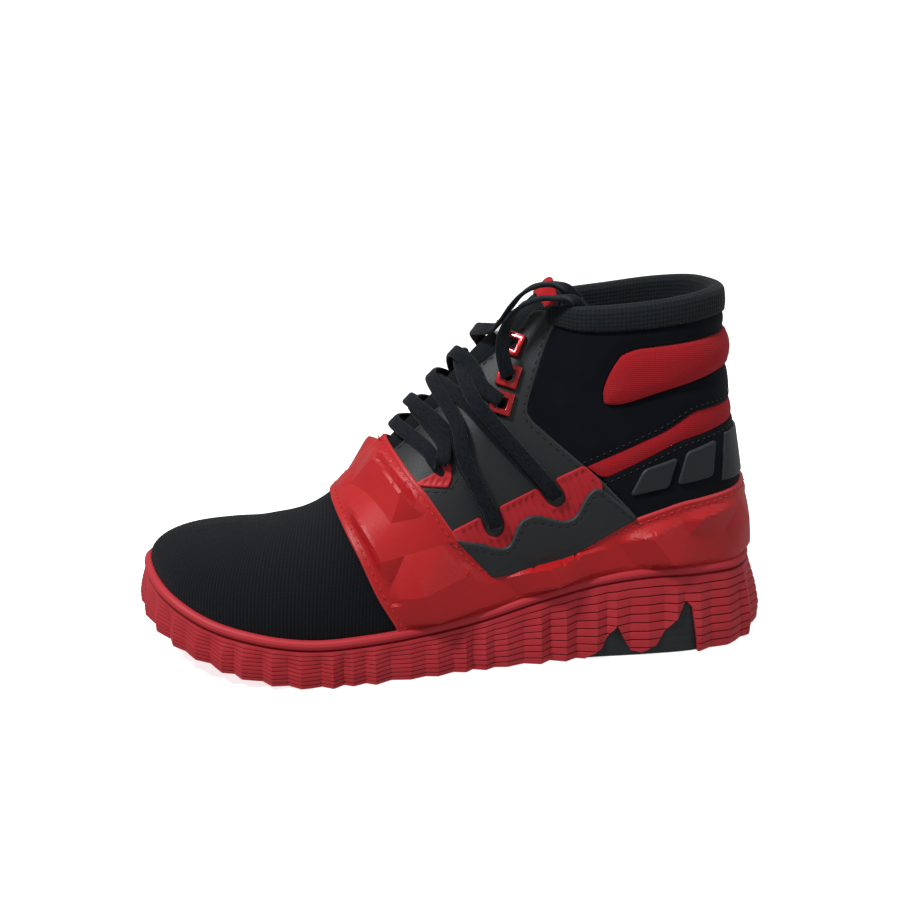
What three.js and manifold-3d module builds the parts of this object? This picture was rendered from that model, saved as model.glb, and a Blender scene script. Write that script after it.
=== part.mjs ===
// A basketball high top, left shoe, as its separate pieces.
// Millimetres. Toe towards -X, heel towards +X, outer (lateral) side -Y, +Z up.
// The group stands on z = 0 with the middle of its box over the origin.
import * as THREE from 'three';
import { mergeVertices } from 'three/addons/utils/BufferGeometryUtils.js';
import Module from 'manifold-3d';

const wasm = await Module();
wasm.setup();

// Driving dimensions
const shoeLength = 293; // along the last, toe to heel
const shoeWidth = 100; // across the ball of the foot
const collarHeight = 166; // rim at the heel, above the ground
const clearance = 0.3; // between any two pieces that touch
const skin = 1.3; // knit, leather and suede uppers
const overlay = 1.5; // pieces sewn on the uppers
const padRise = 2; // how far the heel pad stands out
const counterThickness = 1.5;
const toePuff = 0.8;
const liningThickness = 0.9;
const foamThickness = 3.6; // padding round the collar
const tuck = 5; // how far the uppers run down inside the rand
const cupDepth = 6.5; // recess in the midsole that takes the upper
const boardThickness = 1.6;
const sockliner = 4.5;
const randProud = 2.2;
const soleFlare = 3.5; // how much wider the sole is at the ground
const heelFlare = 5.5; // added at the back of the heel
const toeSpring = 19; // lift of the sole under the toe
const treadThickness = 3;
const treadInset = 7;
const throatHalf = 12; // half the gap between the quarters' front edges
const tongueWidth = 40;
const tongueLength = 110;
const tongueFabric = 1;
const tongueFoam = 3;
const laceWidth = 6.5;
const laceThickness = 2.2;
const eyeletWidth = 8.5;
const eyeletHeight = 9.5;
const eyeletHole = 4.2;
const eyeletThickness = 2;
const agletLength = 14;
const agletRadius = 1.5;

// The last: one row for each station from the back of the heel to the tip of the toe.
// foot edge x, lateral y, medial y, height | top line x, lateral y, medial y, height |
// handles of the wall's curve: rise and swell at the foot, crown and drop at the top
const stations = [
  [138, 0, 0, 39, 120, 0, 0, 166, 42, 0, 1, 46],
  [128, -23, 22, 39.5, 114, -20, 19, 166, 42, 0, 1, 46],
  [106, -34, 32, 41, 97, -32, 30, 164, 42, 0, 0, 46],
  [80, -37, 34, 41.5, 74, -34, 32, 161, 44, 0, -1, 44],
  [55, -37.5, 32, 38.5, 50, -29, 27, 159, 46, 1, 1, 40],
  [30, -39, 31, 33, 31, -12, 12, 158, 48, 2, 15, 28],
  [5, -42, 33, 27, 10, 0, 0, 143, 46, 1, 30, 9],
  [-20, -46, 38, 23.5, -14, 0, 0, 118, 40, 1, 30, 6],
  [-46, -50, 44, 21.5, -40, 0, 0, 92, 30, 1, 28, 4],
  [-72, -51.5, 47.5, 21, -66, 1, 1, 66, 25, 1, 28, 1],
  [-96, -48, 48, 24, -86, 3, 3, 58.5, 20, 1, 27, 0],
  [-118, -38, 46, 29, -99, 5, 5, 57.3, 17, 1, 26, 1],
  [-136, -20, 37, 37, -108, 7, 7, 56.6, 12, 0, 22, 2],
  [-144.5, 10, 10, 42, -112, 8, 8, 56.2, 8, 0, 20, 2],
];
const drawn = { length: 293, width: 100, height: 166 }; // sizes that the rows are drawn at
const stretch = [shoeLength / drawn.length, shoeWidth / drawn.width, collarHeight / drawn.height];
const toe = stations.length - 1;
const loop = 2 * toe;
const throat = 6; // station where the two sides of the top line meet

function stationRow(index) {
  const at = ((index % loop) + loop) % loop;
  const medial = at > toe;
  const row = stations[medial ? loop - at : at];
  const side = medial ? 2 : 1;
  return [
    row[0] * stretch[0], row[side] * stretch[1], row[3] * stretch[2],
    row[4] * stretch[0], row[side + 4] * stretch[1], row[7] * stretch[2],
    row[8] * stretch[2], row[9], row[10] * stretch[1], row[11] * stretch[2],
  ];
}

function lastAt(u) {
  const whole = Math.floor(u);
  const t = u - whole;
  const [a, b, c, d] = [-1, 0, 1, 2].map((step) => stationRow(whole + step));
  return b.map((value, k) => 0.5 * (2 * value + (c[k] - a[k]) * t
    + (2 * a[k] - 5 * value + 4 * c[k] - d[k]) * t * t
    + (3 * value - 3 * c[k] + d[k] - a[k]) * t * t * t));
}

const nudge = 1e-3;

function planNormal(u) {
  const [before, after] = [lastAt(u - nudge), lastAt(u + nudge)];
  return new THREE.Vector3(before[1] - after[1], after[0] - before[0], 0).normalize();
}

function footEdge(u, out = 0, up = 0) {
  const row = lastAt(u);
  return new THREE.Vector3(row[0], row[1], row[2] + up).addScaledVector(planNormal(u), out);
}

function topPoint(u) {
  const row = lastAt(u);
  const top = new THREE.Vector3(row[3], row[4], row[5]);
  if (u >= throat && u <= loop - throat) {
    const mirror = lastAt(loop - u);
    top.add(new THREE.Vector3(mirror[3], mirror[4], mirror[5])).multiplyScalar(0.5);
  }
  return top;
}

function wallPoint(u, v) {
  const row = lastAt(u);
  const normal = planNormal(u);
  const foot = new THREE.Vector3(row[0], row[1], row[2]);
  const top = topPoint(u);
  const low = foot.clone().addScaledVector(normal, row[7]);
  low.z += row[6];
  const high = top.clone().addScaledVector(normal, row[8]);
  high.z -= row[9];
  return new THREE.CubicBezierCurve3(foot, low, high, top).getPoint(v);
}

function isClosedTop(u) {
  return u >= throat && u <= loop - throat;
}

// outward normal of the centre line that runs over the instep and the vamp
function ridgeNormal(u) {
  const at = Math.min(u <= toe ? u : loop - u, toe - 0.6);
  const [before, after] = [topPoint(at - 0.1), topPoint(at + 0.1)];
  return new THREE.Vector3(after.z - before.z, 0, before.x - after.x).normalize();
}

function wallNormal(u, v) {
  const blendFrom = 0.9;
  const at = Math.min(Math.max(v, 0.01), isClosedTop(u) ? blendFrom : 0.98);
  const across = wallPoint(u + nudge, at).sub(wallPoint(u - nudge, at));
  const upwards = wallPoint(u, at + nudge).sub(wallPoint(u, at - nudge));
  const normal = upwards.cross(across).normalize();
  if (isClosedTop(u) && v > blendFrom) {
    return normal.lerp(ridgeNormal(u), (v - blendFrom) / (1 - blendFrom)).normalize();
  }
  return normal;
}

// a point of the upper, lifted off its outer face; v below 0 runs down inside the rand
function onUpper(u, v, lift = 0) {
  if (v >= 1 && isClosedTop(u)) {
    const at = u <= toe ? u : loop - u;
    return topPoint(at).addScaledVector(ridgeNormal(at), lift);
  }
  if (v < 0) {
    return footEdge(u, lift, v * 50);
  }
  return wallPoint(u, v).addScaledVector(wallNormal(u, v), lift);
}

// closed meshes from faces
function mesher() {
  const corners = [];
  const same = (p, q) => p.distanceToSquared(q) < 1e-10;
  const triangle = (a, b, c) => {
    if (!same(a, b) && !same(b, c) && !same(a, c)) {
      corners.push(...a.toArray(), ...b.toArray(), ...c.toArray());
    }
  };
  const quad = (a, b, c, d) => {
    triangle(a, b, c);
    triangle(a, c, d);
  };
  const geometry = () => {
    const made = new THREE.BufferGeometry();
    made.setAttribute('position', new THREE.Float32BufferAttribute(corners, 3));
    return made;
  };
  return { triangle, quad, geometry };
}

function toSolid(source) {
  const bare = source.clone();
  bare.deleteAttribute('normal');
  bare.deleteAttribute('uv');
  const merged = mergeVertices(bare, 1e-4);
  const corners = merged.index.array;
  const kept = [];
  for (let i = 0; i < corners.length; i += 3) {
    const [a, b, c] = [corners[i], corners[i + 1], corners[i + 2]];
    if (a !== b && b !== c && a !== c) {
      kept.push(a, b, c);
    }
  }
  return new wasm.Manifold(new wasm.Mesh({
    numProp: 3,
    vertProperties: new Float32Array(merged.attributes.position.array),
    triVerts: new Uint32Array(kept),
  }));
}

function toGeometry(solid) {
  const mesh = solid.getMesh();
  const made = new THREE.BufferGeometry();
  made.setAttribute('position', new THREE.BufferAttribute(mesh.vertProperties, 3));
  made.setIndex(new THREE.BufferAttribute(mesh.triVerts, 1));
  made.computeVertexNormals();
  return made;
}

// positions along the last, closer together round the heel and the toe
function alongLast() {
  const heel = [0, 0.25, 0.5, 0.75, 1, 1.5, 2, 3, 4, 4.5];
  const side = [5, 5.5, 6, 6.5, 7, 7.5, 8, 9, 10, 11];
  const half = [...heel, ...side, 11.5, 12, 12.5, 12.75, 13];
  const mirrored = half.slice(1, -1).reverse().map((u) => loop - u);
  return half.concat(mirrored);
}
const around = alongLast();

// one closed layer of the upper, between two lifts; a lift may change from place to place
function layer(inner, outer, { low = 0, high = 1, steps = 7 } = {}) {
  const heights = [];
  if (low < 0) {
    heights.push(low);
  }
  for (let j = 0; j <= steps; j += 1) {
    heights.push(Math.max(low, 0) + (high - Math.max(low, 0)) * (j / steps));
  }
  const lift = (value, u, v) => {
    const varies = typeof value === 'function';
    return varies ? value(wallPoint(u, Math.max(v, 0))) : value;
  };
  const grid = (value) => around.map((u) => heights.map((v) => onUpper(u, v, lift(value, u, v))));
  const [outside, inside] = [grid(outer), grid(inner)];
  const mesh = mesher();
  const last = heights.length - 1;
  around.forEach((u, i) => {
    const next = (i + 1) % around.length;
    for (let j = 0; j < last; j += 1) {
      mesh.quad(outside[i][j], outside[i][j + 1], outside[next][j + 1], outside[next][j]);
      mesh.quad(inside[i][j], inside[next][j], inside[next][j + 1], inside[i][j + 1]);
    }
    mesh.quad(outside[i][0], outside[next][0], inside[next][0], inside[i][0]);
    const middle = u + 0.1;
    if (!(high >= 1 && isClosedTop(middle))) {
      mesh.quad(outside[next][last], outside[i][last], inside[i][last], inside[next][last]);
    }
  });
  return toSolid(mesh.geometry());
}

// a closed plate that fills the foot's outline between two heights
function deck(edge) {
  const mesh = mesher();
  const half = around.filter((u) => u <= toe);
  for (let i = 0; i + 1 < half.length; i += 1) {
    const [a, b] = [half[i], half[i + 1]];
    const [a2, b2] = [(loop - a) % loop, loop - b];
    for (const top of [true, false]) {
      const [la, lb, ma, mb] = [edge(a, top), edge(b, top), edge(a2, top), edge(b2, top)];
      if (top) {
        mesh.quad(la, ma, mb, lb);
      } else {
        mesh.quad(la, lb, mb, ma);
      }
    }
    mesh.quad(edge(a, false), edge(a, true), edge(b, true), edge(b, false));
    mesh.quad(edge(a2, true), edge(a2, false), edge(b2, false), edge(b2, true));
  }
  return toSolid(mesh.geometry());
}

// outlines are drawn in side view, [x, z], at the drawn size
function sidePrism(outline, yFrom = -90, yTo = 90) {
  const shape = new THREE.Shape(outline.map(([x, z]) => new THREE.Vector2(x * stretch[0], z * stretch[2])));
  if (THREE.ShapeUtils.area(shape.getPoints()) < 0) {
    shape.curves.length = 0;
    shape.setFromPoints(outline.map(([x, z]) => new THREE.Vector2(x * stretch[0], z * stretch[2])).reverse());
  }
  const geometry = new THREE.ExtrudeGeometry(shape, { depth: yTo - yFrom, bevelEnabled: false, steps: 1 });
  geometry.rotateX(Math.PI / 2);
  geometry.translate(0, yTo, 0);
  return toSolid(geometry);
}

// the same outline, moved out by a distance
function grown(outline, distance) {
  const points = outline.map(([x, z]) => new THREE.Vector2(x, z));
  const turn = Math.sign(THREE.ShapeUtils.area(points));
  return points.map((point, i) => {
    const before = points[(i + points.length - 1) % points.length];
    const after = points[(i + 1) % points.length];
    const [one, two] = [point.clone().sub(before).normalize(), after.clone().sub(point).normalize()];
    const normal = new THREE.Vector2(one.y + two.y, -one.x - two.x).multiplyScalar(turn);
    const reach = Math.max(normal.lengthSq() / 2, 0.3);
    return [point.x + (normal.x * distance) / reach, point.y + (normal.y * distance) / reach];
  });
}

const sides = {
  lateral: { from: -90, to: 0, sign: -1, u: (at) => at },
  medial: { from: 0, to: 90, sign: 1, u: (at) => loop - at },
};

// the place on one side of the upper that shows at x, z in side view
function locate(side, x, z) {
  const target = [x * stretch[0], z * stretch[2]];
  let best = { miss: Infinity };
  const miss = (u, v) => {
    const p = onUpper(side.u(u), v);
    return Math.hypot(p.x - target[0], p.z - target[1]);
  };
  for (let u = 0; u <= toe; u += 0.25) {
    for (let v = 0; v <= 0.98; v += 0.07) {
      const found = miss(u, v);
      if (found < best.miss) {
        best = { miss: found, u, v };
      }
    }
  }
  for (let step = 0.1; step > 1e-4; step *= 0.6) {
    for (const [du, dv] of [[step, 0], [-step, 0], [0, step / 3], [0, -step / 3]]) {
      const [u, v] = [best.u + du, Math.min(Math.max(best.v + dv, 0), 0.99)];
      const found = miss(u, v);
      if (found < best.miss) {
        best = { miss: found, u, v };
      }
    }
  }
  return { u: side.u(best.u), v: best.v };
}

function onSide(side, x, z, lift) {
  const { u, v } = locate(side, x, z);
  return { point: onUpper(u, v, lift), normal: wallNormal(u, v) };
}

// Side-view outlines
const vampEdge = [[-200, 0], [-26, 0], [-30, 60], [-40.5, 92], [-46, 115], [-200, 115]];
const quarterRear = [[37, 158], [41, 156], [36, 144], [26, 116], [27, 112], [37, 103], [52, 90],
  [60, 83], [76, 66], [80, 50], [80, 0]];
const quarterOutline = [[-26, 0], [-30, 60], [-40.5, 92], [-46, 115], [-20, 160], [34, 180], ...quarterRear];
const padOutline = [[60, 118], [58, 123], [64, 137], [69, 142], [120, 147], [160, 150], [160, 132],
  [125, 133], [85, 123], [66, 117]];
const stripeOutline = [[52, 90], [69, 97], [88, 105], [101, 113], [125, 115], [160, 116], [160, 105],
  [124, 106], [95, 100], [76, 91], [60, 84]];
const collarOutline = [...quarterRear.slice(0, 7), [69, 97], [88, 105], [101, 113], [125, 115], [160, 116],
  [160, 200], [37, 200]];
const heelOutline = [[60, 84], [76, 91], [95, 100], [124, 106], [160, 105], [160, 0], [80, 0], [80, 50],
  [76, 66]];
const saddleOutline = [[-34, 0], [-34, 22], [-43, 38], [-50, 54], [-58, 68], [-64, 76], [-70, 100], [-38, 108],
  [-35, 99], [-25, 87], [-19, 80], [-9, 65], [-1, 54], [9, 47], [21, 48], [42, 52], [73, 65], [97, 72],
  [128, 75], [170, 77], [170, 0]];
const waveOutline = [[-9, 62], [-4, 60], [3, 59], [11, 56], [16, 56], [18, 60], [21, 67], [24, 69], [29, 70],
  [35, 68], [42, 66], [47, 68], [51, 76], [54, 80], [58, 81], [76, 66], [42, 48], [9, 42]];
const stripOutline = [[-9.5, 64.8], [51, 91], [59, 83], [60, 60], [0, 50]];
const throatTab = [[-24, 84], [-15, 89], [-12, 87], [-11, 89], [-14, 96], [-12, 96.5], [-8, 92], [-8, 87],
  [-10, 83], [-23, 83]];
const insertOutline = [[52, -5], [53, 1], [60, 5], [63, 11], [67, 16], [71, 8], [74, 3], [79, 2], [86, 5],
  [90, 12], [95, 17], [100, 25], [103, 22], [106, 3], [107, -5]];
const laceNotches = [[38, 77, -14, 17], [10, 65, -5, 16]];
const eyeletPlaces = [[22, 142], [19, 129], [15, 118]];

// a slot for the lace, from its hole up and out of the strip
function notch([x, z, dx, dz]) {
  const half = laceWidth / 2 + 1.2;
  const length = Math.hypot(dx, dz);
  const [ux, uz] = [dx / length, dz / length];
  const rounded = [];
  for (let k = 0; k <= 6; k += 1) {
    const angle = Math.PI + (Math.PI * k) / 6;
    const [along, aside] = [Math.sin(angle) * half, Math.cos(angle) * half];
    rounded.push([x + ux * along + uz * aside, z + uz * along - ux * aside]);
  }
  rounded.push([x + dx + uz * half, z + dz - ux * half], [x + dx - uz * half, z + dz + ux * half]);
  return rounded;
}

const group = new THREE.Group();

function finish(name, solid, material) {
  const mesh = new THREE.Mesh(toGeometry(solid), material);
  mesh.name = name;
  group.add(mesh);
  return mesh;
}

function paint(color, roughness, metalness = 0) {
  return new THREE.MeshStandardMaterial({ color, roughness, metalness });
}
const materials = {
  redFacet: paint('#a91919', 0.5),
  redRubber: paint('#a22a30', 0.65),
  redMesh: paint('#a81c25', 0.85),
  redMetal: paint('#a3141c', 0.3, 0.6),
  knit: paint('#0d1015', 0.95),
  suede: paint('#050912', 1),
  leather: paint('#363a3c', 0.55),
  lining: paint('#2b3032', 0.9),
  blackRubber: paint('#141618', 0.7),
  foam: paint('#3a3c3e', 1),
  board: paint('#c9c2b4', 0.9),
  lace: paint('#0a1119', 0.9),
  label: paint('#e6e8e8', 0.8),
  aglet: paint('#101214', 0.35),
};

// Uppers
const skinLayer = layer(-skin, 0, { low: -tuck / 50 });
const skinPiece = (outline, ranges = [[-90, 90]]) => {
  const cutters = ranges.map(([from, to]) => sidePrism(outline, from, to));
  return cutters.map((cutter) => skinLayer.intersect(cutter)).reduce((a, b) => a.add(b));
};
const halfGap = clearance / 2;

finish('vamp', skinPiece(grown(vampEdge, -halfGap)), materials.knit);
for (const [name, side] of Object.entries(sides)) {
  const range = side.sign < 0 ? [-90, -throatHalf] : [throatHalf, 90];
  let quarter = skinPiece(grown(quarterOutline, -halfGap), [range]);
  eyeletPlaces.forEach(([x, z]) => {
    quarter = quarter.subtract(eyeletBlock(side, x, z, eyeletHole, eyeletHole, [-6, 6]));
  });
  finish(`quarter_${name}`, quarter, materials.leather);
}
const padCut = sidePrism(grown(padOutline, halfGap));
finish('collar_suede', skinPiece(grown(collarOutline, -halfGap)).subtract(padCut), materials.suede);
const stripeRise = skin / 3;
finish('heel_stripe', layer(-skin, stripeRise).intersect(sidePrism(grown(stripeOutline, -halfGap))),
  materials.redMesh);
finish('heel_panel', skinPiece(grown(heelOutline, -halfGap)), materials.suede);
finish('heel_pad', layer(-skin, padRise).intersect(sidePrism(grown(padOutline, -halfGap))),
  materials.redMesh);

// Pieces sewn on the uppers
const overlayLow = 0.015;
const overlayLayer = layer(clearance, clearance + overlay, { low: overlayLow });
finish('saddle', overlayLayer.intersect(sidePrism(saddleOutline)), materials.redFacet);
for (const [name, side] of Object.entries(sides)) {
  const saddleCut = sidePrism(grown(saddleOutline, clearance));
  const prismOf = (outline) => sidePrism(outline, side.from, side.to);
  const wave = overlayLayer.intersect(prismOf(waveOutline)).subtract(saddleCut);
  finish(`wave_overlay_${name}`, wave, materials.leather);
  let strip = overlayLayer.intersect(prismOf(stripOutline)).subtract(saddleCut);
  strip = strip.subtract(sidePrism(grown(waveOutline, clearance)));
  laceNotches.forEach((place) => {
    strip = strip.subtract(sidePrism(notch(place)));
  });
  finish(`lace_strip_${name}`, largest(strip), materials.redRubber);
  finish(`throat_tab_${name}`, overlayLayer.intersect(prismOf(throatTab)).subtract(saddleCut),
    materials.redRubber);
  eyeletPlaces.forEach(([x, z], k) => {
    const frame = eyeletBlock(side, x, z, eyeletWidth, eyeletHeight, [0.7, 0.7 + eyeletThickness]);
    const hole = eyeletBlock(side, x, z, eyeletHole, eyeletHole, [-6, 6]);
    finish(`eyelet_${name}_${k + 1}`, frame.subtract(hole), materials.redMetal);
  });
}

function largest(solid) {
  return solid.decompose().reduce((a, b) => (a.volume() > b.volume() ? a : b));
}

// a block standing on the upper, upright along the quarter's front edge
function eyeletBlock(side, x, z, width, height, [from, to]) {
  const { point, normal } = onSide(side, x, z, 0);
  const upright = new THREE.Vector3(0.25, 0, 0.97);
  upright.addScaledVector(normal, -upright.dot(normal)).normalize();
  const across = upright.clone().cross(normal);
  const block = new THREE.BoxGeometry(width, height, to - from);
  block.translate(0, 0, (from + to) / 2);
  block.applyMatrix4(new THREE.Matrix4().makeBasis(across, upright, normal).setPosition(point));
  return toSolid(block);
}

// plain raised plates on the heel panel, and the tab round its back
const plateOutlines = {
  front: [[72, 76], [90, 79], [94, 93], [78, 88]],
  rear: [[94, 80], [112, 82], [113, 99], [98, 95]],
};
for (const [name, side] of Object.entries(sides)) {
  Object.entries(plateOutlines).forEach(([place, outline]) => {
    finish(`heel_plate_${place}_${name}`, overlayLayer.intersect(sidePrism(outline, side.from, side.to)),
      materials.leather);
  });
}
const tabOutline = [[117, 79], [170, 81], [170, 104], [118, 101]];
finish('heel_tab', overlayLayer.intersect(sidePrism(tabOutline)), materials.leather);

// Inside the upper
const insideSkin = -skin - clearance;
const smooth = (value, from, to) => THREE.MathUtils.smoothstep(value, from, to);
const padded = (p) => smooth(p.z / stretch[2], 92, 112) * smooth(p.x / stretch[0], 38, 52);
const liningOuter = (p) => insideSkin - counterThickness - clearance
  - (foamThickness - counterThickness) * padded(p);
const liningInner = (p) => liningOuter(p) - liningThickness;
const counterOutline = [[72, 30], [78, 88], [100, 96], [160, 97], [160, 30]];
const foamOutline = [[56, 160], [56, 112], [160, 112], [160, 200], [56, 200]];
const liningOutline = [[-25, 0], [-25, 60], [-5, 84], [30, 112], [47, 138], [54, 160], [54, 200], [170, 200],
  [170, 0]];
finish('heel_counter', layer(insideSkin - counterThickness, insideSkin, { low: 0.01, high: 0.7, steps: 4 })
  .intersect(sidePrism(counterOutline)), materials.board);
finish('collar_foam', layer(insideSkin - foamThickness + 0.6, insideSkin, { high: 0.99 })
  .intersect(sidePrism(foamOutline)), materials.foam);
finish('lining', layer(liningInner, liningOuter, { low: 0.01, high: 0.995, steps: 8 })
  .intersect(sidePrism(liningOutline)), materials.lining);
finish('toe_puff', layer(insideSkin - toePuff, insideSkin, { low: 0.02 })
  .intersect(sidePrism([[-200, 0], [-116, 0], [-112, 120], [-200, 120]])), materials.board);
const behindPuff = insideSkin - toePuff - clearance;
finish('vamp_lining', layer(behindPuff - liningThickness, behindPuff, { low: 0.01 })
  .intersect(sidePrism([[-200, 0], [-28, 0], [-32, 60], [-42, 88], [-48, 110], [-200, 115]])), materials.lining);

// Sole
function soleBottom(x) {
  const [at, spring] = [x / stretch[0], toeSpring * Math.max((-70 - x / stretch[0]) / 79, 0) ** 1.6];
  return spring + 2 * Math.max((at - 125) / 23, 0) ** 2;
}

function soleEdge(u, h, inset = 0) {
  const foot = footEdge(u);
  const back = Math.min(Math.max((foot.x / stretch[0] - 60) / 85, 0), 1);
  const flare = soleFlare + heelFlare * back ** 1.5;
  const out = randProud + flare * (1 - h) * (1 - Math.max(0.25 - h, 0) * 1.2) - inset;
  const edge = footEdge(u, out);
  const bottom = soleBottom(foot.x + planNormal(u).x * 6);
  edge.z = bottom + (foot.z - bottom) * h;
  return edge;
}

function soleBody() {
  const mesh = mesher();
  const rings = [0, 0.12, 0.25, 0.6, 1].map((h) => around.map((u) => soleEdge(u, h)));
  rings.push(around.map((u) => footEdge(u, clearance)));
  rings.push(around.map((u) => footEdge(u, clearance, -cupDepth)));
  for (let k = 0; k + 1 < rings.length; k += 1) {
    around.forEach((u, i) => {
      const next = (i + 1) % around.length;
      mesh.quad(rings[k][i], rings[k + 1][i], rings[k + 1][next], rings[k][next]);
    });
  }
  const toeIndex = around.indexOf(toe);
  for (let i = 0; i < toeIndex; i += 1) {
    const [a, b] = [(around.length - i) % around.length, around.length - i - 1];
    const [floor, ground] = [rings[rings.length - 1], rings[0]];
    mesh.quad(floor[i], floor[a], floor[b], floor[i + 1]);
    mesh.quad(ground[i], ground[i + 1], ground[b], ground[a]);
  }
  return toSolid(mesh.geometry());
}

function treadSlab(inset, below, above) {
  return deck((u, top) => {
    const edge = soleEdge(u, 0, inset);
    edge.z += top ? above : below;
    return edge;
  });
}

const sole = soleBody();
const treads = { forefoot: [-126, 48], heel: [111, 139] };
const insert = sole.intersect(sidePrism(insertOutline));
let midsole = sole.subtract(sidePrism(grown(insertOutline, clearance)));
Object.entries(treads).forEach(([name, [from, to]]) => {
  const box = (more) => sidePrism([[from - more, -5], [to + more, -5], [to + more, 30], [from - more, 30]]);
  const tread = treadSlab(treadInset, 0, treadThickness).intersect(box(0));
  const recess = treadSlab(treadInset - clearance, -1, treadThickness + clearance).intersect(box(clearance));
  midsole = midsole.subtract(recess);
  finish(`tread_${name}`, tread, materials.redRubber);
});
finish('midsole', midsole, materials.redRubber);
finish('heel_insert', insert, materials.blackRubber);

const boardBottom = clearance - cupDepth;
finish('strobel_board', deck((u, top) => footEdge(u, insideSkin, boardBottom + (top ? boardThickness : 0))),
  materials.board);
const sockInset = insideSkin - counterThickness - 2 * clearance - liningThickness;
const sockBottom = boardBottom + boardThickness + clearance;
finish('sockliner', deck((u, top) => footEdge(u, sockInset, sockBottom + (top ? sockliner : 0))),
  materials.lining);

// Tongue
const tongueRoot = new THREE.Vector3(-40 * stretch[0], 0, 92 * stretch[2]);
const tongueTop = new THREE.Vector3(10 * stretch[0], 0, 143 * stretch[2]);
const tongueDirection = tongueTop.clone().sub(tongueRoot).normalize();
const tongueNormal = new THREE.Vector3(-tongueDirection.z, 0, tongueDirection.x);
const underQuarter = skin + clearance + 2.4;

// how far the upper's outer face lies below the ridge line, at a length up the tongue and off its middle
function instepDepth(up, y) {
  const depths = Object.values(sides).map((side) => {
    let best = { miss: Infinity };
    const consider = (u, v) => {
      const p = onUpper(side.u(u), v);
      const away = p.clone().sub(tongueRoot);
      const miss = Math.hypot(away.dot(tongueDirection) - up, p.y - side.sign * Math.abs(y));
      if (miss < best.miss) {
        best = { miss, u, v, depth: -away.dot(tongueNormal) };
      }
    };
    for (let u = 3.6; u <= 9; u += 0.3) {
      for (let v = 0.4; v <= 1; v += 0.1) {
        consider(u, v);
      }
    }
    for (let step = 0.2; step > 0.005; step *= 0.7) {
      for (const [du, dv] of [[step, 0], [-step, 0], [0, step / 3], [0, -step / 3]]) {
        consider(best.u + du, Math.min(best.v + dv, 0.999));
      }
    }
    return best.depth;
  });
  return Math.max(...depths);
}

const depthsFound = new Map();

function tonguePoint(s, y, depth) {
  const up = s * tongueLength;
  const key = `${up.toFixed(2)} ${Math.abs(y).toFixed(2)}`;
  if (!depthsFound.has(key)) {
    depthsFound.set(key, instepDepth(Math.min(up, 97), y));
  }
  const back = depthsFound.get(key) + 1 + (underQuarter - 1) * smooth(Math.abs(y), 5.5, 10.8);
  return tongueRoot.clone().addScaledVector(tongueDirection, up)
    .addScaledVector(tongueNormal, -back - depth).add(new THREE.Vector3(0, y, 0));
}

const topBow = 0.05; // the top edge stands higher in the middle

function tongueHalf(s) {
  return (tongueWidth / 2) * Math.min(0.72 + 0.5 * s, 1) * (1 - 0.45 * smooth(s, 0.84, 1));
}

function tonguePlate(from, to, top, bottom) {
  const stops = [0.13, 0.25, 0.37, 0.49, 0.6, 0.7, 0.8, 0.9, 0.93];
  const between = stops.filter((s) => s > from + 0.01 && s < to - 0.01);
  const lengths = [from, ...between, to];
  const columns = [1, 0.76, 0.53, 0.25, 0, -0.25, -0.53, -0.76, -1];
  const rows = lengths.length - 1;
  const grid = (depth) => lengths.map((s) => columns.map((w) => (
    tonguePoint(s + topBow * (1 - w * w) * smooth(s, 0.6, 1), w * tongueHalf(s), depth)
  )));
  const [front, back] = [grid(top), grid(bottom)];
  const mesh = mesher();
  const last = columns.length - 1;
  for (let i = 0; i < rows; i += 1) {
    for (let j = 0; j < last; j += 1) {
      mesh.quad(front[i][j], front[i][j + 1], front[i + 1][j + 1], front[i + 1][j]);
      mesh.quad(back[i][j], back[i + 1][j], back[i + 1][j + 1], back[i][j + 1]);
    }
    mesh.quad(front[i][0], front[i + 1][0], back[i + 1][0], back[i][0]);
    mesh.quad(front[i + 1][last], front[i][last], back[i][last], back[i + 1][last]);
  }
  for (let j = 0; j < last; j += 1) {
    mesh.quad(front[0][j + 1], front[0][j], back[0][j], back[0][j + 1]);
    mesh.quad(front[rows][j], front[rows][j + 1], back[rows][j + 1], back[rows][j]);
  }
  return toSolid(mesh.geometry());
}

const rootStart = 0.015;
const capStart = 0.9; // shares of the tongue's length, from its root
const capEnd = 0.96;
const capGap = 0.004;
const foamEnd = 0.95;
const liningEnd = 0.955;
const foamDepth = tongueFabric + 2 * clearance; // measured square to the tongue's middle
const backDepth = foamDepth + tongueFoam + 2 * clearance;
finish('tongue_shell', tonguePlate(rootStart, capStart - capGap, 0, tongueFabric), materials.knit);
finish('tongue_cap', tonguePlate(capStart, capEnd, 0, tongueFabric), materials.redMesh);
finish('tongue_foam', tonguePlate(rootStart, foamEnd, foamDepth, foamDepth + tongueFoam), materials.foam);
finish('tongue_lining', tonguePlate(rootStart, liningEnd, backDepth, backDepth + liningThickness),
  materials.lining);
finish('tongue_label', tongueLabel(), materials.label);

function tongueLabel() {
  const mesh = mesher();
  const [low, high, half] = [0.70, 0.79, 6];
  const at = (s, y, depth) => tonguePoint(s, y, depth);
  const corner = [[low, half], [low, 0], [low, -half], [high, -half], [high, 0], [high, half]];
  const front = corner.map(([s, y]) => at(s, y, -2 * clearance - 0.6));
  const back = corner.map(([s, y]) => at(s, y, -2 * clearance));
  for (const [a, b, c, d] of [[0, 1, 4, 5], [1, 2, 3, 4]]) {
    mesh.quad(front[a], front[b], front[c], front[d]);
    mesh.quad(back[a], back[d], back[c], back[b]);
  }
  corner.forEach((_, i) => {
    const next = (i + 1) % corner.length;
    mesh.quad(front[next], front[i], back[i], back[next]);
  });
  return toSolid(mesh.geometry());
}

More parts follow.
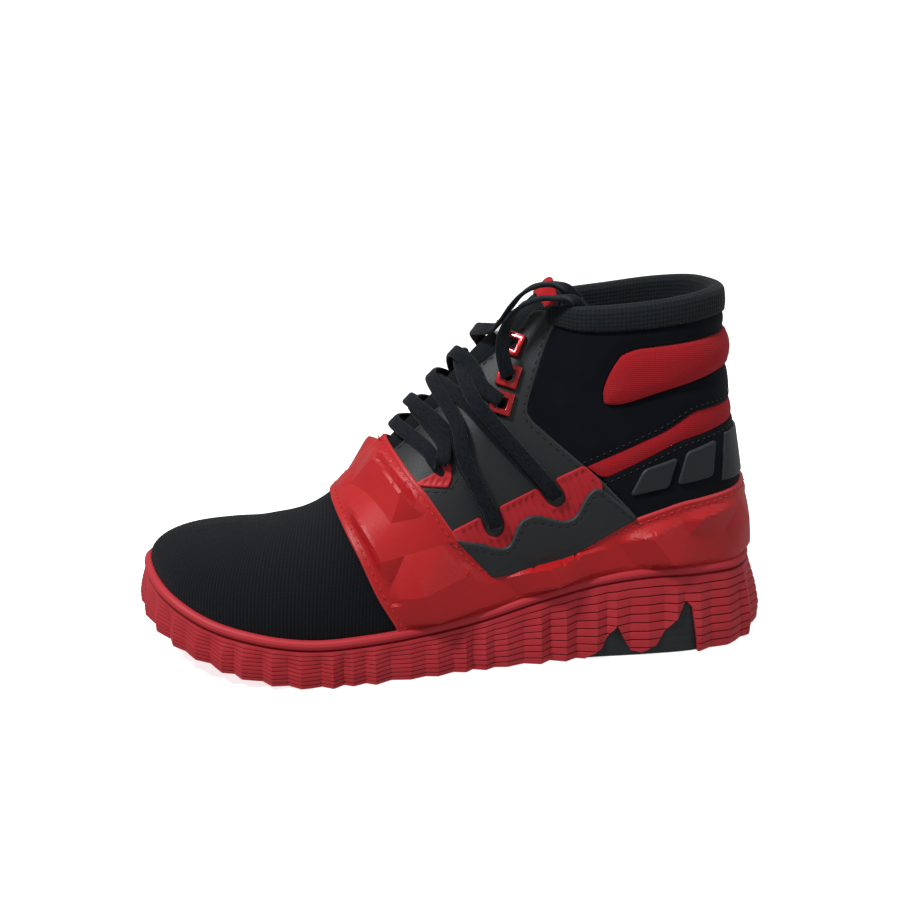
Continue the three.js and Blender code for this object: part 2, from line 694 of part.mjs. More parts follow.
// Lace: a flat cord swept along its route, with the direction of its width given at each point
function ribbon(route, step = 6) {
  const path = new THREE.CatmullRomCurve3(route.map((stop) => stop.point), false, 'centripetal');
  const widths = new THREE.CatmullRomCurve3(route.map((stop) => stop.across), false, 'centripetal');
  const count = Math.max(6, Math.round(path.getLength() / step));
  const section = Array.from({ length: 8 }, (_, k) => {
    const angle = (2 * Math.PI * (k + 0.5)) / 8;
    return [(Math.cos(angle) * laceWidth) / 2 / Math.cos(Math.PI / 8), (Math.sin(angle) * laceThickness) / 2];
  });
  const mesh = mesher();
  const rings = Array.from({ length: count + 1 }, (_, i) => {
    const t = i / count;
    const centre = path.getPoint(t);
    const tangent = path.getTangent(t);
    const across = widths.getPoint(t);
    across.addScaledVector(tangent, -across.dot(tangent)).normalize();
    const up = tangent.clone().cross(across);
    return section.map(([w, h]) => centre.clone().addScaledVector(across, w).addScaledVector(up, h));
  });
  for (let i = 0; i < count; i += 1) {
    for (let k = 0; k < 8; k += 1) {
      const next = (k + 1) % 8;
      mesh.quad(rings[i][k], rings[i][next], rings[i + 1][next], rings[i + 1][k]);
    }
  }
  for (let k = 1; k + 1 < 8; k += 1) {
    mesh.triangle(rings[0][0], rings[0][k + 1], rings[0][k]);
    mesh.triangle(rings[count][0], rings[count][k], rings[count][k + 1]);
  }
  return toSolid(mesh.geometry());
}

// stops on the route: on a side of the upper, or over the middle of the tongue
function ridgeStop(up, lift, y = 0) {
  const point = tongueRoot.clone().addScaledVector(tongueDirection, up).addScaledVector(tongueNormal, lift);
  point.y = y;
  return { point, normal: tongueNormal.clone() };
}

// the width lies across the route and along the surface, and never flips over
function withWidths(stops) {
  let before = null;
  return stops.map((stop, i) => {
    const from = stops[Math.max(i - 1, 0)].point;
    const to = stops[Math.min(i + 1, stops.length - 1)].point;
    const run = to.clone().sub(from);
    let across = stop.across ? stop.across.clone() : stop.normal.clone().cross(run).normalize();
    if (before && across.dot(before) < 0) {
      across = across.negate();
    }
    before = across;
    return { point: stop.point, across };
  });
}

const flatLift = clearance + laceThickness / 2 + 0.5;
const highLift = flatLift + laceThickness + 0.9;

// half of the lacing: it starts at the bar over the throat, and changes side at each crossing
function lacing(first, second, crossLift) {
  return [
    ridgeStop(16, flatLift, 4 * first.sign),
    onSide(first, -17, 97, flatLift + 1.2),
    onSide(first, -13.5, 92, flatLift + 2),
    onSide(first, -11, 93, flatLift + 3.4),
    onSide(first, -10, 99, flatLift + 2),
    ridgeStop(28, crossLift),
    onSide(second, -9, 105, flatLift + 1),
    onSide(second, -4, 95, flatLift),
    onSide(second, 2, 83, flatLift),
    onSide(second, 8.5, 69, flatLift),
    onSide(second, 10, 66, flatLift + 1.5),
    onSide(second, 8.5, 70, highLift),
    onSide(second, 2, 84, highLift),
    onSide(second, -2, 95, highLift),
    onSide(second, -3, 107, highLift),
    ridgeStop(43, crossLift),
    onSide(first, 1, 117, flatLift + 1),
    onSide(first, 7, 110, flatLift),
    onSide(first, 17, 99, flatLift),
    onSide(first, 29, 86.5, flatLift),
    onSide(first, 36.5, 79, flatLift),
    onSide(first, 38, 77.5, flatLift + 1.5),
    onSide(first, 35.5, 81, highLift),
    onSide(first, 24, 94, highLift),
    onSide(first, 12, 108, highLift),
    onSide(first, 4, 119, highLift),
    ridgeStop(58, crossLift),
    onSide(second, 5, 131, flatLift + 1),
    onSide(second, 7, 125, flatLift + 1.4),
    onSide(second, 11, 121, flatLift + 2.2),
    onSide(second, 14.5, 118.5, flatLift + 2.7),
  ];
}

const { lateral, medial } = sides;
const heldRoute = [...lacing(lateral, medial, flatLift).reverse(), ...lacing(medial, lateral, highLift)];
finish('lace', ribbon(withWidths(heldRoute), 7), materials.lace);

// The two loose ends arch over the collar and are tucked inside it: points and width directions by hand
const looseEnds = {
  lateral: [
    [[17.6, -26.6, 130.5], [1, 0.1, 0.2]],
    [[16, -27.2, 136], [1, 0.1, 0.1]],
    [[15, -26.8, 142], [1, 0.2, 0]],
    [[15.5, -25.8, 148], [0.9, 0.4, -0.1]],
    [[17.5, -25, 153.5], [0.7, 0.7, -0.3]],
    [[21, -24.6, 158.5], [0.4, 0.9, -0.3]],
    [[26, -24.4, 162], [0.1, 1, -0.1]],
    [[32, -24.4, 164], [0, 1, 0]],
    [[38, -24.4, 164], [0, 1, 0.1]],
    [[43.5, -23.6, 163.6], [0.2, 1, 0.2]],
    [[48.5, -21.8, 161], [0.6, 0.3, 0.6]],
    [[53, -20.4, 155.5], [0.9, 0.1, 0.5]],
    [[57.2, -19.8, 148], [0.9, 0, 0.4]],
    [[60.6, -19.4, 139], [1, 0, 0.3]],
    [[63, -19.6, 129], [1, 0, 0.2]],
    [[64.6, -19.3, 119], [1, 0, 0.1]],
    [[65.6, -19.1, 109], [1, 0, 0.1]],
  ],
  medial: [
    [[16.6, 25.4, 132], [1, -0.1, 0.3]],
    [[12.6, 22, 138], [0.8, -0.2, 0.6]],
    [[9, 14, 143], [0.6, 0, 0.8]],
    [[7.6, 5, 146], [0.6, 0.1, 0.8]],
    [[9.4, -4, 147.5], [0.6, 0.2, 0.8]],
    [[14, -12, 149.5], [0.7, 0.4, 0.6]],
    [[17, -16.2, 154.5], [0.6, 0.7, 0.3]],
    [[20.4, -18, 160], [0.4, 0.9, -0.2]],
    [[24.6, -18.8, 165], [0.2, 1, -0.2]],
    [[30, -19.2, 168.4], [0, 1, 0]],
    [[36, -19.3, 169.4], [0, 1, 0]],
    [[41.6, -18, 168.2], [0.3, 0.7, 0.2]],
    [[46.6, -16.8, 165], [0.6, 0.2, 0.6]],
    [[51.6, -15.8, 159], [0.9, 0.1, 0.5]],
    [[56.4, -15, 150], [0.9, 0, 0.4]],
    [[60.4, -14.6, 139.5], [1, 0, 0.3]],
    [[63, -14.4, 128.5], [1, 0, 0.2]],
    [[64.8, -14.3, 118], [1, 0, 0.1]],
    [[66, -14.2, 107.5], [1, 0, 0.1]],
  ],
};

for (const [name, points] of Object.entries(looseEnds)) {
  const stops = points.map(([at, across]) => ({
    point: new THREE.Vector3(...at),
    across: new THREE.Vector3(...across).normalize(),
  }));
  finish(`lace_end_${name}`, ribbon(stops), materials.lace);
  const [before, end] = stops.slice(-2).map((stop) => stop.point);
  const along = end.clone().sub(before).normalize();
  const aglet = new THREE.CylinderGeometry(agletRadius, agletRadius, agletLength, 10);
  const middle = end.clone().addScaledVector(along, agletLength / 2 + clearance);
  const turn = new THREE.Quaternion().setFromUnitVectors(new THREE.Vector3(0, 1, 0), along);
  aglet.applyQuaternion(turn).translate(middle.x, middle.y, middle.z);
  finish(`aglet_${name}`, toSolid(aglet), materials.aglet);
}

// the middle of the whole box goes over the origin, and the ground to z = 0
const bounds = new THREE.Box3().setFromObject(group);
group.position.set(-(bounds.min.x + bounds.max.x) / 2, -(bounds.min.y + bounds.max.y) / 2, -bounds.min.z);

export default group;
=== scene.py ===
# A basketball high top, left shoe: its looks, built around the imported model.
# The last and the side-view outlines are in millimetres, toe towards -X, outer side -Y; pieces are in metres.
import random
import bmesh
import bpy
import numpy as np
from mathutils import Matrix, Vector
from mathutils.geometry import delaunay_2d_cdt
from mathutils.kdtree import KDTree


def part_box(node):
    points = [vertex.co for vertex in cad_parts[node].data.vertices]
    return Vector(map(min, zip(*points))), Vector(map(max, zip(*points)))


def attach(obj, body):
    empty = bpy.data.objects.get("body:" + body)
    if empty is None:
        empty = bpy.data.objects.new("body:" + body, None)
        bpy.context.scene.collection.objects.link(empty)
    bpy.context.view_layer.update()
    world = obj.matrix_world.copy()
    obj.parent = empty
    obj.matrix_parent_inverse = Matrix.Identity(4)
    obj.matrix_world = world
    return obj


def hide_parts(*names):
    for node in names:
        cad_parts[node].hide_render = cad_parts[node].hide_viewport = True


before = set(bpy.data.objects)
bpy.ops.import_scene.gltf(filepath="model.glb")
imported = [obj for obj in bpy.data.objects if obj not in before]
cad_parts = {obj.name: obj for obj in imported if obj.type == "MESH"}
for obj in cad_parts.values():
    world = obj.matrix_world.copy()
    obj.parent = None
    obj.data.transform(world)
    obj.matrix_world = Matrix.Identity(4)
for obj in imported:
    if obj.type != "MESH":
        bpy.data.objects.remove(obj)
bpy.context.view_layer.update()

# The last, one row for each station from the back of the heel to the toe:
# foot edge x, outer y, inner y, height | top line x, outer y, inner y, height | rise, swell, crown, drop
stations = np.array([
    [138, 0, 0, 39, 120, 0, 0, 166, 42, 0, 1, 46],
    [128, -23, 22, 39.5, 114, -20, 19, 166, 42, 0, 1, 46],
    [106, -34, 32, 41, 97, -32, 30, 164, 42, 0, 0, 46],
    [80, -37, 34, 41.5, 74, -34, 32, 161, 44, 0, -1, 44],
    [55, -37.5, 32, 38.5, 50, -29, 27, 159, 46, 1, 1, 40],
    [30, -39, 31, 33, 31, -12, 12, 158, 48, 2, 15, 28],
    [5, -42, 33, 27, 10, 0, 0, 143, 46, 1, 30, 9],
    [-20, -46, 38, 23.5, -14, 0, 0, 118, 40, 1, 30, 6],
    [-46, -50, 44, 21.5, -40, 0, 0, 92, 30, 1, 28, 4],
    [-72, -51.5, 47.5, 21, -66, 1, 1, 66, 25, 1, 28, 1],
    [-96, -48, 48, 24, -86, 3, 3, 58.5, 20, 1, 27, 0],
    [-118, -38, 46, 29, -99, 5, 5, 57.3, 17, 1, 26, 1],
    [-136, -20, 37, 37, -108, 7, 7, 56.6, 12, 0, 22, 2],
    [-144.5, 10, 10, 42, -112, 8, 8, 56.2, 8, 0, 20, 2],
], float)
toeAt = len(stations) - 1
loopLength = 2 * toeAt
throatAt = 6
skinThickness = 1.3
tongueRoot = np.array([-40.0, 0.0, 92.0])
tongueTop = np.array([10.0, 0.0, 143.0])


def unit(vectors):
    return vectors / np.maximum(np.linalg.norm(vectors, axis=-1, keepdims=True), 1e-9)


def smoothStep(value, low, high):
    t = np.clip((value - low) / (high - low), 0, 1)
    return t * t * (3 - 2 * t)


outerRows = stations[:, [0, 1, 3, 4, 5, 7, 8, 9, 10, 11]]
innerRows = stations[:, [0, 2, 3, 4, 6, 7, 8, 9, 10, 11]]
loopRows = np.concatenate([outerRows, innerRows[-2:0:-1]])


def lastAt(u):
    whole = np.floor(u).astype(int)
    t = (u - whole)[:, None]
    a, b, c, d = (loopRows[(whole + step) % loopLength] for step in (-1, 0, 1, 2))
    bend, twist = 2 * a - 5 * b + 4 * c - d, 3 * b - 3 * c + d - a
    return 0.5 * (2 * b + (c - a) * t + bend * t * t + twist * t ** 3)


def planNormal(u):
    before, after = lastAt(u - 1e-3), lastAt(u + 1e-3)
    out = np.column_stack([before[:, 1] - after[:, 1], after[:, 0] - before[:, 0], np.zeros(len(u))])
    return unit(out)


def isClosed(u):
    at = np.mod(u, loopLength)
    return (at >= throatAt) & (at <= loopLength - throatAt)


def topPoint(u):
    top = lastAt(u)[:, 3:6]
    mirror = lastAt(loopLength - u)[:, 3:6]
    return np.where(isClosed(u)[:, None], (top + mirror) / 2, top)


def wallPoint(u, v):
    row, normal, top = lastAt(u), planNormal(u), topPoint(u)
    foot = row[:, :3]
    low = foot + normal * row[:, 7:8]
    low[:, 2] += row[:, 6]
    high = top + normal * row[:, 8:9]
    high[:, 2] -= row[:, 9]
    t = v[:, None]
    return foot * (1 - t) ** 3 + 3 * low * t * (1 - t) ** 2 + 3 * high * t * t * (1 - t) + top * t ** 3


def ridgeNormal(u):
    at = np.mod(u, loopLength)
    at = np.minimum(np.where(at <= toeAt, at, loopLength - at), toeAt - 0.6)
    before, after = topPoint(at - 0.1), topPoint(at + 0.1)
    out = np.column_stack([after[:, 2] - before[:, 2], np.zeros(len(u)), before[:, 0] - after[:, 0]])
    return unit(out)


def wallNormal(u, v):
    closed = isClosed(u)
    at = np.clip(v, 0.01, np.where(closed, 0.9, 0.98))
    across = wallPoint(u + 1e-3, at) - wallPoint(u - 1e-3, at)
    upwards = wallPoint(u, at + 1e-3) - wallPoint(u, at - 1e-3)
    normal = unit(np.cross(upwards, across))
    share = np.where(closed & (v > 0.9), (v - 0.9) / 0.1, 0)[:, None]
    return unit(normal * (1 - share) + ridgeNormal(u) * share)


# a point of the upper, lifted off its outer face; v below 0 runs down inside the sole
def onUpper(u, v, lift=0.0):
    u, v = np.atleast_1d(np.asarray(u, float)), np.atleast_1d(np.asarray(v, float))
    u, v = np.broadcast_arrays(u, v)
    lift = np.broadcast_to(np.asarray(lift, float), u.shape)[:, None]
    point = wallPoint(u, np.maximum(v, 0)) + wallNormal(u, v) * lift
    below = lastAt(u)[:, :3] + planNormal(u) * lift
    below[:, 2] += v * 50
    return np.where((v < 0)[:, None], below, point)


# near-isometric flat map of the wall: length along the foot edge, and height up the wall
mapU = np.linspace(-14, 27, 4101)
mapLine = onUpper(mapU, np.full(len(mapU), 0.2))
mapS = np.concatenate([[0], np.cumsum(np.linalg.norm(np.diff(mapLine, axis=0), axis=1))])
mapS -= np.interp(0, mapU, mapS)
mapH = sum(np.linalg.norm(onUpper(mapU, np.full(len(mapU), (k + 1) / 12))
                          - onUpper(mapU, np.full(len(mapU), k / 12)), axis=1) for k in range(12))


def toFlat(uv):
    return np.column_stack([np.interp(uv[:, 0], mapU, mapS), uv[:, 1] * np.interp(uv[:, 0], mapU, mapH)])


def fromFlat(flat):
    u = np.interp(flat[:, 0], mapS, mapU)
    return np.column_stack([u, flat[:, 1] / np.interp(u, mapU, mapH)])


# the place on one side of the upper that shows at x, z in side view; the inner side has negative u
tableU, tableV = np.meshgrid(np.linspace(0, toeAt, 261), np.linspace(0, 1, 81), indexing="ij")
tableU, tableV = tableU.ravel(), tableV.ravel()
sideTables = {sign: onUpper(-sign * tableU, tableV)[:, [0, 2]] for sign in (-1, 1)}


def seat(points, sign):
    points = np.atleast_2d(np.asarray(points, float))
    table = sideTables[sign]
    nearest = [np.argmin(((table - p) ** 2).sum(1)) for p in points]
    u, v = tableU[nearest].copy(), tableV[nearest].copy()
    for _ in range(8):
        here = onUpper(-sign * u, v)[:, [0, 2]]
        du = (onUpper(-sign * (u + 1e-3), v)[:, [0, 2]] - here) / 1e-3
        dv = (onUpper(-sign * u, np.minimum(v + 1e-3, 1.0))[:, [0, 2]]
              - onUpper(-sign * u, np.minimum(v + 1e-3, 1.0) - 1e-3)[:, [0, 2]]) / 1e-3
        miss = points - here
        det = du[:, 0] * dv[:, 1] - du[:, 1] * dv[:, 0]
        det = np.where(np.abs(det) < 1e-3, 1e-3, det)
        stepU = (miss[:, 0] * dv[:, 1] - miss[:, 1] * dv[:, 0]) / det
        stepV = (du[:, 0] * miss[:, 1] - du[:, 1] * miss[:, 0]) / det
        u = np.clip(u + np.clip(stepU, -0.3, 0.3), 0, 13)
        v = np.clip(v + np.clip(stepV, -0.05, 0.05), 0, 1)
    miss = np.linalg.norm(points - onUpper(-sign * u, v)[:, [0, 2]], axis=1)
    return np.column_stack([-sign * u, v]), miss


def dense(points, step=1.0):
    points = np.asarray(points, float)
    out = [points[:1]]
    for a, b in zip(points[:-1], points[1:]):
        count = max(1, int(round(np.linalg.norm(b - a) / step)))
        out.append(a + (b - a) * (np.arange(1, count + 1) / count)[:, None])
    return np.concatenate(out)


# rounds the corners of an outline, twice cutting each corner off a little
def rounded(points, cut=2.0, closed=False):
    points = np.asarray(points, float)
    for share in (1.0, 0.45):
        out = []
        count = len(points)
        for i, p in enumerate(points):
            if not closed and i in (0, count - 1):
                out.append(p)
                continue
            for other in (points[i - 1], points[(i + 1) % count]):
                reach = np.linalg.norm(other - p)
                out.append(p + (other - p) * min(cut * share / max(reach, 1e-6), 0.4))
        points = np.array(out)
    return points


# an edge drawn in side view, on one side, kept only where the surface is seen
def edgeOn(points, sign, step=1.0, cut=2.0):
    uv, miss = seat(dense(rounded(points, cut), step), sign)
    return uv[miss < 0.3]


def centreOfSole():
    u = np.linspace(0, 26, 521)
    rings = np.concatenate([soleEdge(u, np.full(len(u), h)) for h in (0, 0.25, 0.6, 1)])
    return (rings.min(0) + rings.max(0)) / 2


def soleBottom(x):
    return 19 * np.maximum((-70 - x) / 79, 0) ** 1.6 + 2 * np.maximum((x - 125) / 23, 0) ** 2


def soleEdge(u, h, inset=0.0):
    foot = lastAt(u)[:, :3]
    normal = planNormal(u)
    back = np.clip((foot[:, 0] - 60) / 85, 0, 1)
    flare = 3.5 + 5.5 * back ** 1.5
    out = 2.2 + flare * (1 - h) * (1 - np.maximum(0.25 - h, 0) * 1.2) - inset
    edge = foot + normal * np.asarray(out)[:, None]
    bottom = soleBottom(foot[:, 0] + normal[:, 0] * 6)
    edge[:, 2] = bottom + (foot[:, 2] - bottom) * h
    return edge


soleLow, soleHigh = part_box("midsole")
frameShift = (np.array(soleLow) + np.array(soleHigh)) * 500 - centreOfSole()
frameShift[2] = 0


def toFrame(points):
    return (np.asarray(points, float) + frameShift) / 1000


print("frame shift, mm:", frameShift.round(3))

# camera, floor and light
view = {"place": (-0.07706, -0.56055, 0.2526), "target": (-0.00306, 0.00175, 0.090), "lens": 50.72}


def makeCamera():
    data = bpy.data.cameras.new("camera")
    data.lens = view["lens"]
    data.sensor_width = 36
    camera = bpy.data.objects.new("camera", data)
    bpy.context.scene.collection.objects.link(camera)
    camera.location = view["place"]
    towards = Vector(view["target"]) - Vector(view["place"])
    camera.rotation_euler = towards.to_track_quat("-Z", "Y").to_euler()
    bpy.context.scene.camera = camera


makeCamera()


def addNode(tree, kind, settings=None, links=None):
    node = tree.nodes.new(kind)
    for key, value in (settings or {}).items():
        if isinstance(key, int) or key in node.inputs:
            node.inputs[key].default_value = value
        else:
            setattr(node, key, value)
    for key, source in (links or {}).items():
        tree.links.new(source, node.inputs[key])
    return node


def linear(hexColour):
    parts = [int(hexColour[i:i + 2], 16) / 255 for i in (1, 3, 5)]
    return tuple(p / 12.92 if p <= 0.04045 else ((p + 0.055) / 1.055) ** 2.4 for p in parts) + (1.0,)


def newMaterial(name, colour, roughness, **sockets):
    material = bpy.data.materials.new(name)
    material.use_nodes = True
    tree = material.node_tree
    shader = tree.nodes["Principled BSDF"]
    shader.inputs["Base Color"].default_value = linear(colour)
    shader.inputs["Roughness"].default_value = roughness
    for key, value in sockets.items():
        shader.inputs[key.replace("_", " ")].default_value = value
    return material, tree, shader


def colourMix(tree, factor, low, high):
    return addNode(tree, "ShaderNodeMix", {"data_type": "RGBA", 6: linear(low), 7: linear(high)}, {0: factor})


def bumpInto(tree, shader, height, strength, distance):
    bump = addNode(tree, "ShaderNodeBump", {"Strength": strength, "Distance": distance}, {"Height": height})
    tree.links.new(bump.outputs["Normal"], shader.inputs["Normal"])
    return bump


# brushed cow suede: short nap, deep black, faint cloudy shade where the nap lies another way
def makeSuede():
    material, tree, shader = newMaterial("black_suede", "#05080f", 1.0, Sheen_Weight=0.06, Sheen_Roughness=0.5,
                                         Specular_IOR_Level=0.12)
    place = addNode(tree, "ShaderNodeTexCoord").outputs["Object"]
    cloud = addNode(tree, "ShaderNodeTexNoise", {"Scale": 90.0, "Detail": 3.0}, {"Vector": place})
    nap = addNode(tree, "ShaderNodeTexNoise", {"Scale": 2400.0, "Detail": 2.0}, {"Vector": place})
    tone = colourMix(tree, cloud.outputs["Fac"], "#04060c", "#0d1119")
    tree.links.new(tone.outputs[2], shader.inputs["Base Color"])
    bumpInto(tree, shader, nap.outputs["Fac"], 0.45, 0.0004)
    return material


# flat-knit polyester: ribs across the toe, each rib a row of stitches about a millimetre wide
def makeKnit(name, dark, light, rib=1.6, row=1.1):
    material, tree, shader = newMaterial(name, dark, 0.95, Sheen_Weight=0.04, Specular_IOR_Level=0.15)
    uv = addNode(tree, "ShaderNodeUVMap", {"uv_map": "sewn"}).outputs["UV"]
    size = 2 * np.pi / 20 * 1000
    ribs = addNode(tree, "ShaderNodeTexWave", {"bands_direction": "X", "Scale": size / rib,
                                               "Distortion": 1.2, "Detail": 1.0, "Detail Scale": 300.0},
                   {"Vector": uv})
    rows = addNode(tree, "ShaderNodeTexWave", {"bands_direction": "Y", "Scale": size / row,
                                               "Distortion": 2.5, "Detail": 1.0, "Detail Scale": 500.0},
                   {"Vector": uv})
    both = addNode(tree, "ShaderNodeMath", {"operation": "MULTIPLY"},
                   {0: ribs.outputs["Fac"], 1: rows.outputs["Fac"]})
    tone = colourMix(tree, both.outputs[0], dark, light)
    tree.links.new(tone.outputs[2], shader.inputs["Base Color"])
    bumpInto(tree, shader, both.outputs[0], 0.6, 0.0005)
    return material


# pigmented grain leather: fine pebble grain, soft shine, lighter where an edge is rubbed
def makeLeather(name, dark, light, edge, roughness=0.5):
    material, tree, shader = newMaterial(name, dark, roughness, Specular_IOR_Level=0.35)
    place = addNode(tree, "ShaderNodeTexCoord").outputs["Object"]
    cloud = addNode(tree, "ShaderNodeTexNoise", {"Scale": 45.0, "Detail": 3.0}, {"Vector": place})
    grain = addNode(tree, "ShaderNodeTexVoronoi", {"feature": "DISTANCE_TO_EDGE", "Scale": 1300.0},
                    {"Vector": place})
    crease = addNode(tree, "ShaderNodeTexNoise", {"Scale": 420.0, "Detail": 4.0}, {"Vector": place})
    tone = colourMix(tree, cloud.outputs["Fac"], dark, light)
    away = addNode(tree, "ShaderNodeAttribute", {"attribute_name": "edgeDistance"})
    rub = addNode(tree, "ShaderNodeMapRange",
                  {"From Min": 0.0, "From Max": 0.9, "To Min": 0.75, "To Max": 0.0},
                  {"Value": away.outputs["Fac"]})
    worn = addNode(tree, "ShaderNodeMix", {"data_type": "RGBA", 7: linear(edge)},
                   {0: rub.outputs[0], 6: tone.outputs[2]})
    tree.links.new(worn.outputs[2], shader.inputs["Base Color"])
    depth = addNode(tree, "ShaderNodeMath", {"operation": "MULTIPLY_ADD", 1: 2.0},
                    {0: grain.outputs["Distance"], 2: crease.outputs["Fac"]})
    bumpInto(tree, shader, depth.outputs[0], 0.2, 0.0003)
    return material


# moulded carbon rubber: matt, faint mould texture, and painted shade that darkens the moulded grooves so proud
# edges read lighter
def makeRubber(name, dark, light, roughness=0.55):
    material, tree, shader = newMaterial(name, dark, roughness, Specular_IOR_Level=0.25)
    place = addNode(tree, "ShaderNodeTexCoord").outputs["Object"]
    cloud = addNode(tree, "ShaderNodeTexNoise", {"Scale": 60.0, "Detail": 4.0}, {"Vector": place})
    grit = addNode(tree, "ShaderNodeTexNoise", {"Scale": 1800.0, "Detail": 2.0}, {"Vector": place})
    tone = colourMix(tree, cloud.outputs["Fac"], dark, light)
    # painted shade: the groove attribute darkens grooves and seams towards #4a070b, standing in for the shadow
    # in them
    deep = addNode(tree, "ShaderNodeAttribute", {"attribute_name": "groove"})
    shade = addNode(tree, "ShaderNodeMix", {"data_type": "RGBA", 7: linear("#4a070b")},
                    {0: deep.outputs["Fac"], 6: tone.outputs[2]})
    tree.links.new(shade.outputs[2], shader.inputs["Base Color"])
    bumpInto(tree, shader, grit.outputs["Fac"], 0.15, 0.0002)
    return material


# warp-knit mesh and woven twill: small cells at a real pitch, in rows along the piece
def makeMesh(name, dark, light, cell=1.4, roughness=0.85, depth=0.5):
    material, tree, shader = newMaterial(name, dark, roughness, Sheen_Weight=0.05, Specular_IOR_Level=0.15)
    uv = addNode(tree, "ShaderNodeUVMap", {"uv_map": "sewn"}).outputs["UV"]
    cells = addNode(tree, "ShaderNodeTexVoronoi", {"Scale": 1000.0 / cell, "Randomness": 0.15}, {"Vector": uv})
    tone = colourMix(tree, cells.outputs["Distance"], dark, light)
    tree.links.new(tone.outputs[2], shader.inputs["Base Color"])
    bumpInto(tree, shader, cells.outputs["Distance"], depth, 0.0005)
    return material


# flat braid of spun polyester: chevrons along its length, fuzzy and matt
def makeBraid():
    material, tree, shader = newMaterial("black_braid", "#0a1119", 0.9, Sheen_Weight=0.12, Sheen_Roughness=0.4,
                                         Specular_IOR_Level=0.2)
    uv = addNode(tree, "ShaderNodeUVMap", {"uv_map": "sewn"}).outputs["UV"]
    weave = addNode(tree, "ShaderNodeTexBrick",
                    {"Scale": 1000.0 / 1.6, "Mortar Size": 0.06, "Color1": linear("#060b12"),
                     "Color2": linear("#131b25"), "Mortar": linear("#020407"),
                     "Brick Width": 0.9, "Row Height": 0.45}, {"Vector": uv})
    fuzz = addNode(tree, "ShaderNodeTexNoise", {"Scale": 2600.0, "Detail": 2.0}, {"Vector": uv})
    tree.links.new(weave.outputs["Color"], shader.inputs["Base Color"])
    both = addNode(tree, "ShaderNodeMath", {"operation": "SUBTRACT"},
                   {0: fuzz.outputs["Fac"], 1: weave.outputs["Fac"]})
    bumpInto(tree, shader, both.outputs[0], 0.5, 0.0004)
    return material


# smooth hard finishes: lacquered metal, hot-melt plastic, woven satin
def makeSmooth(name, colour, second, roughness, scale=300.0, **sockets):
    material, tree, shader = newMaterial(name, colour, roughness, **sockets)
    place = addNode(tree, "ShaderNodeTexCoord").outputs["Object"]
    cloud = addNode(tree, "ShaderNodeTexNoise", {"Scale": scale, "Detail": 3.0}, {"Vector": place})
    tone = colourMix(tree, cloud.outputs["Fac"], colour, second)
    tree.links.new(tone.outputs[2], shader.inputs["Base Color"])
    bumpInto(tree, shader, cloud.outputs["Fac"], 0.1, 0.0002)
    return material


finishes = {
    "suede": makeSuede(),
    "vampKnit": makeKnit("black_flat_knit", "#080a0e", "#1a1e24"),
    "tongueMesh": makeMesh("black_tongue_mesh", "#060a0d", "#1b2227", cell=1.2),
    "leather": makeLeather("grey_grain_leather", "#1b1e20", "#24282a", "#3d4347"),
    "plateLeather": makeLeather("charcoal_coated_leather", "#191d20", "#1f2427", "#333a3f", 0.45),
    "facet": makeLeather("red_embossed_synthetic", "#a81418", "#b6191d", "#c9474a", 0.42),
    "stripeMesh": makeMesh("red_sandwich_mesh", "#8f1219", "#b3222b", cell=0.9),
    "capMesh": makeMesh("red_twill_binding", "#9c1219", "#bb2029", cell=0.8),
    "redRubber": makeRubber("red_moulded_rubber", "#a8252d", "#b8343d"),
    "stripRubber": makeRubber("red_ribbed_rubber", "#a81c24", "#b82730", 0.5),
    "blackRubber": makeSmooth("black_foam_rubber", "#0e1318", "#171d22", 0.6),
    "eyeletMetal": makeSmooth("red_lacquered_metal", "#b01219", "#a00f16", 0.22, Metallic=0.55,
                              Coat_Weight=0.6),
    "spacerMesh": makeMesh("charcoal_spacer_mesh", "#080b0d", "#262c2f", cell=1.9, depth=0.9),
    "board": makeSmooth("fibre_board", "#b9b1a2", "#cac3b4", 0.9),
    "foam": makeSmooth("grey_foam", "#333537", "#414345", 1.0, 900.0),
    "braid": makeBraid(),
    "label": makeSmooth("white_satin_label", "#d9dcdd", "#e8eaea", 0.7, 900.0),
    "aglet": makeSmooth("black_hot_melt_tip", "#101214", "#1a1d20", 0.3),
    "blackThread": makeSmooth("black_bonded_thread", "#07090b", "#15181b", 0.6, 2000.0),
    "redThread": makeSmooth("red_bonded_thread", "#a81a20", "#bd3036", 0.7, 2000.0),
    "greyThread": makeSmooth("grey_bonded_thread", "#1d2127", "#2c3138", 0.7, 2000.0),
}
print("materials made")


# meshes from arrays
def newPiece(name, points, faces, finish, nodes=(), uv=None, attributes=None, body="shoe", weld=0.0):
    mesh = bpy.data.meshes.new(name)
    mesh.from_pydata(toFrame(points).tolist(), [], [list(map(int, f)) for f in faces])
    if uv is not None:
        layer = mesh.uv_layers.new(name="sewn")
        corners = np.zeros(len(mesh.loops), np.int32)
        mesh.loops.foreach_get("vertex_index", corners)
        layer.data.foreach_set("uv", (np.asarray(uv)[corners] / 1000).astype(np.float32).ravel())
    for key, values in (attributes or {}).items():
        made = mesh.attributes.new(key, "FLOAT", "POINT")
        made.data.foreach_set("value", np.asarray(values, np.float32))
    piece = bpy.data.objects.new(name, mesh)
    bpy.context.scene.collection.objects.link(piece)
    if weld:
        work = bmesh.new()
        work.from_mesh(mesh)
        bmesh.ops.remove_doubles(work, verts=work.verts, dist=weld)
        bmesh.ops.dissolve_degenerate(work, dist=1e-6, edges=work.edges)
        work.to_mesh(mesh)
        work.free()
    mesh.polygons.foreach_set("use_smooth", [True] * len(mesh.polygons))
    mesh.materials.append(finishes[finish])
    placePiece(piece, nodes, body)
    return piece


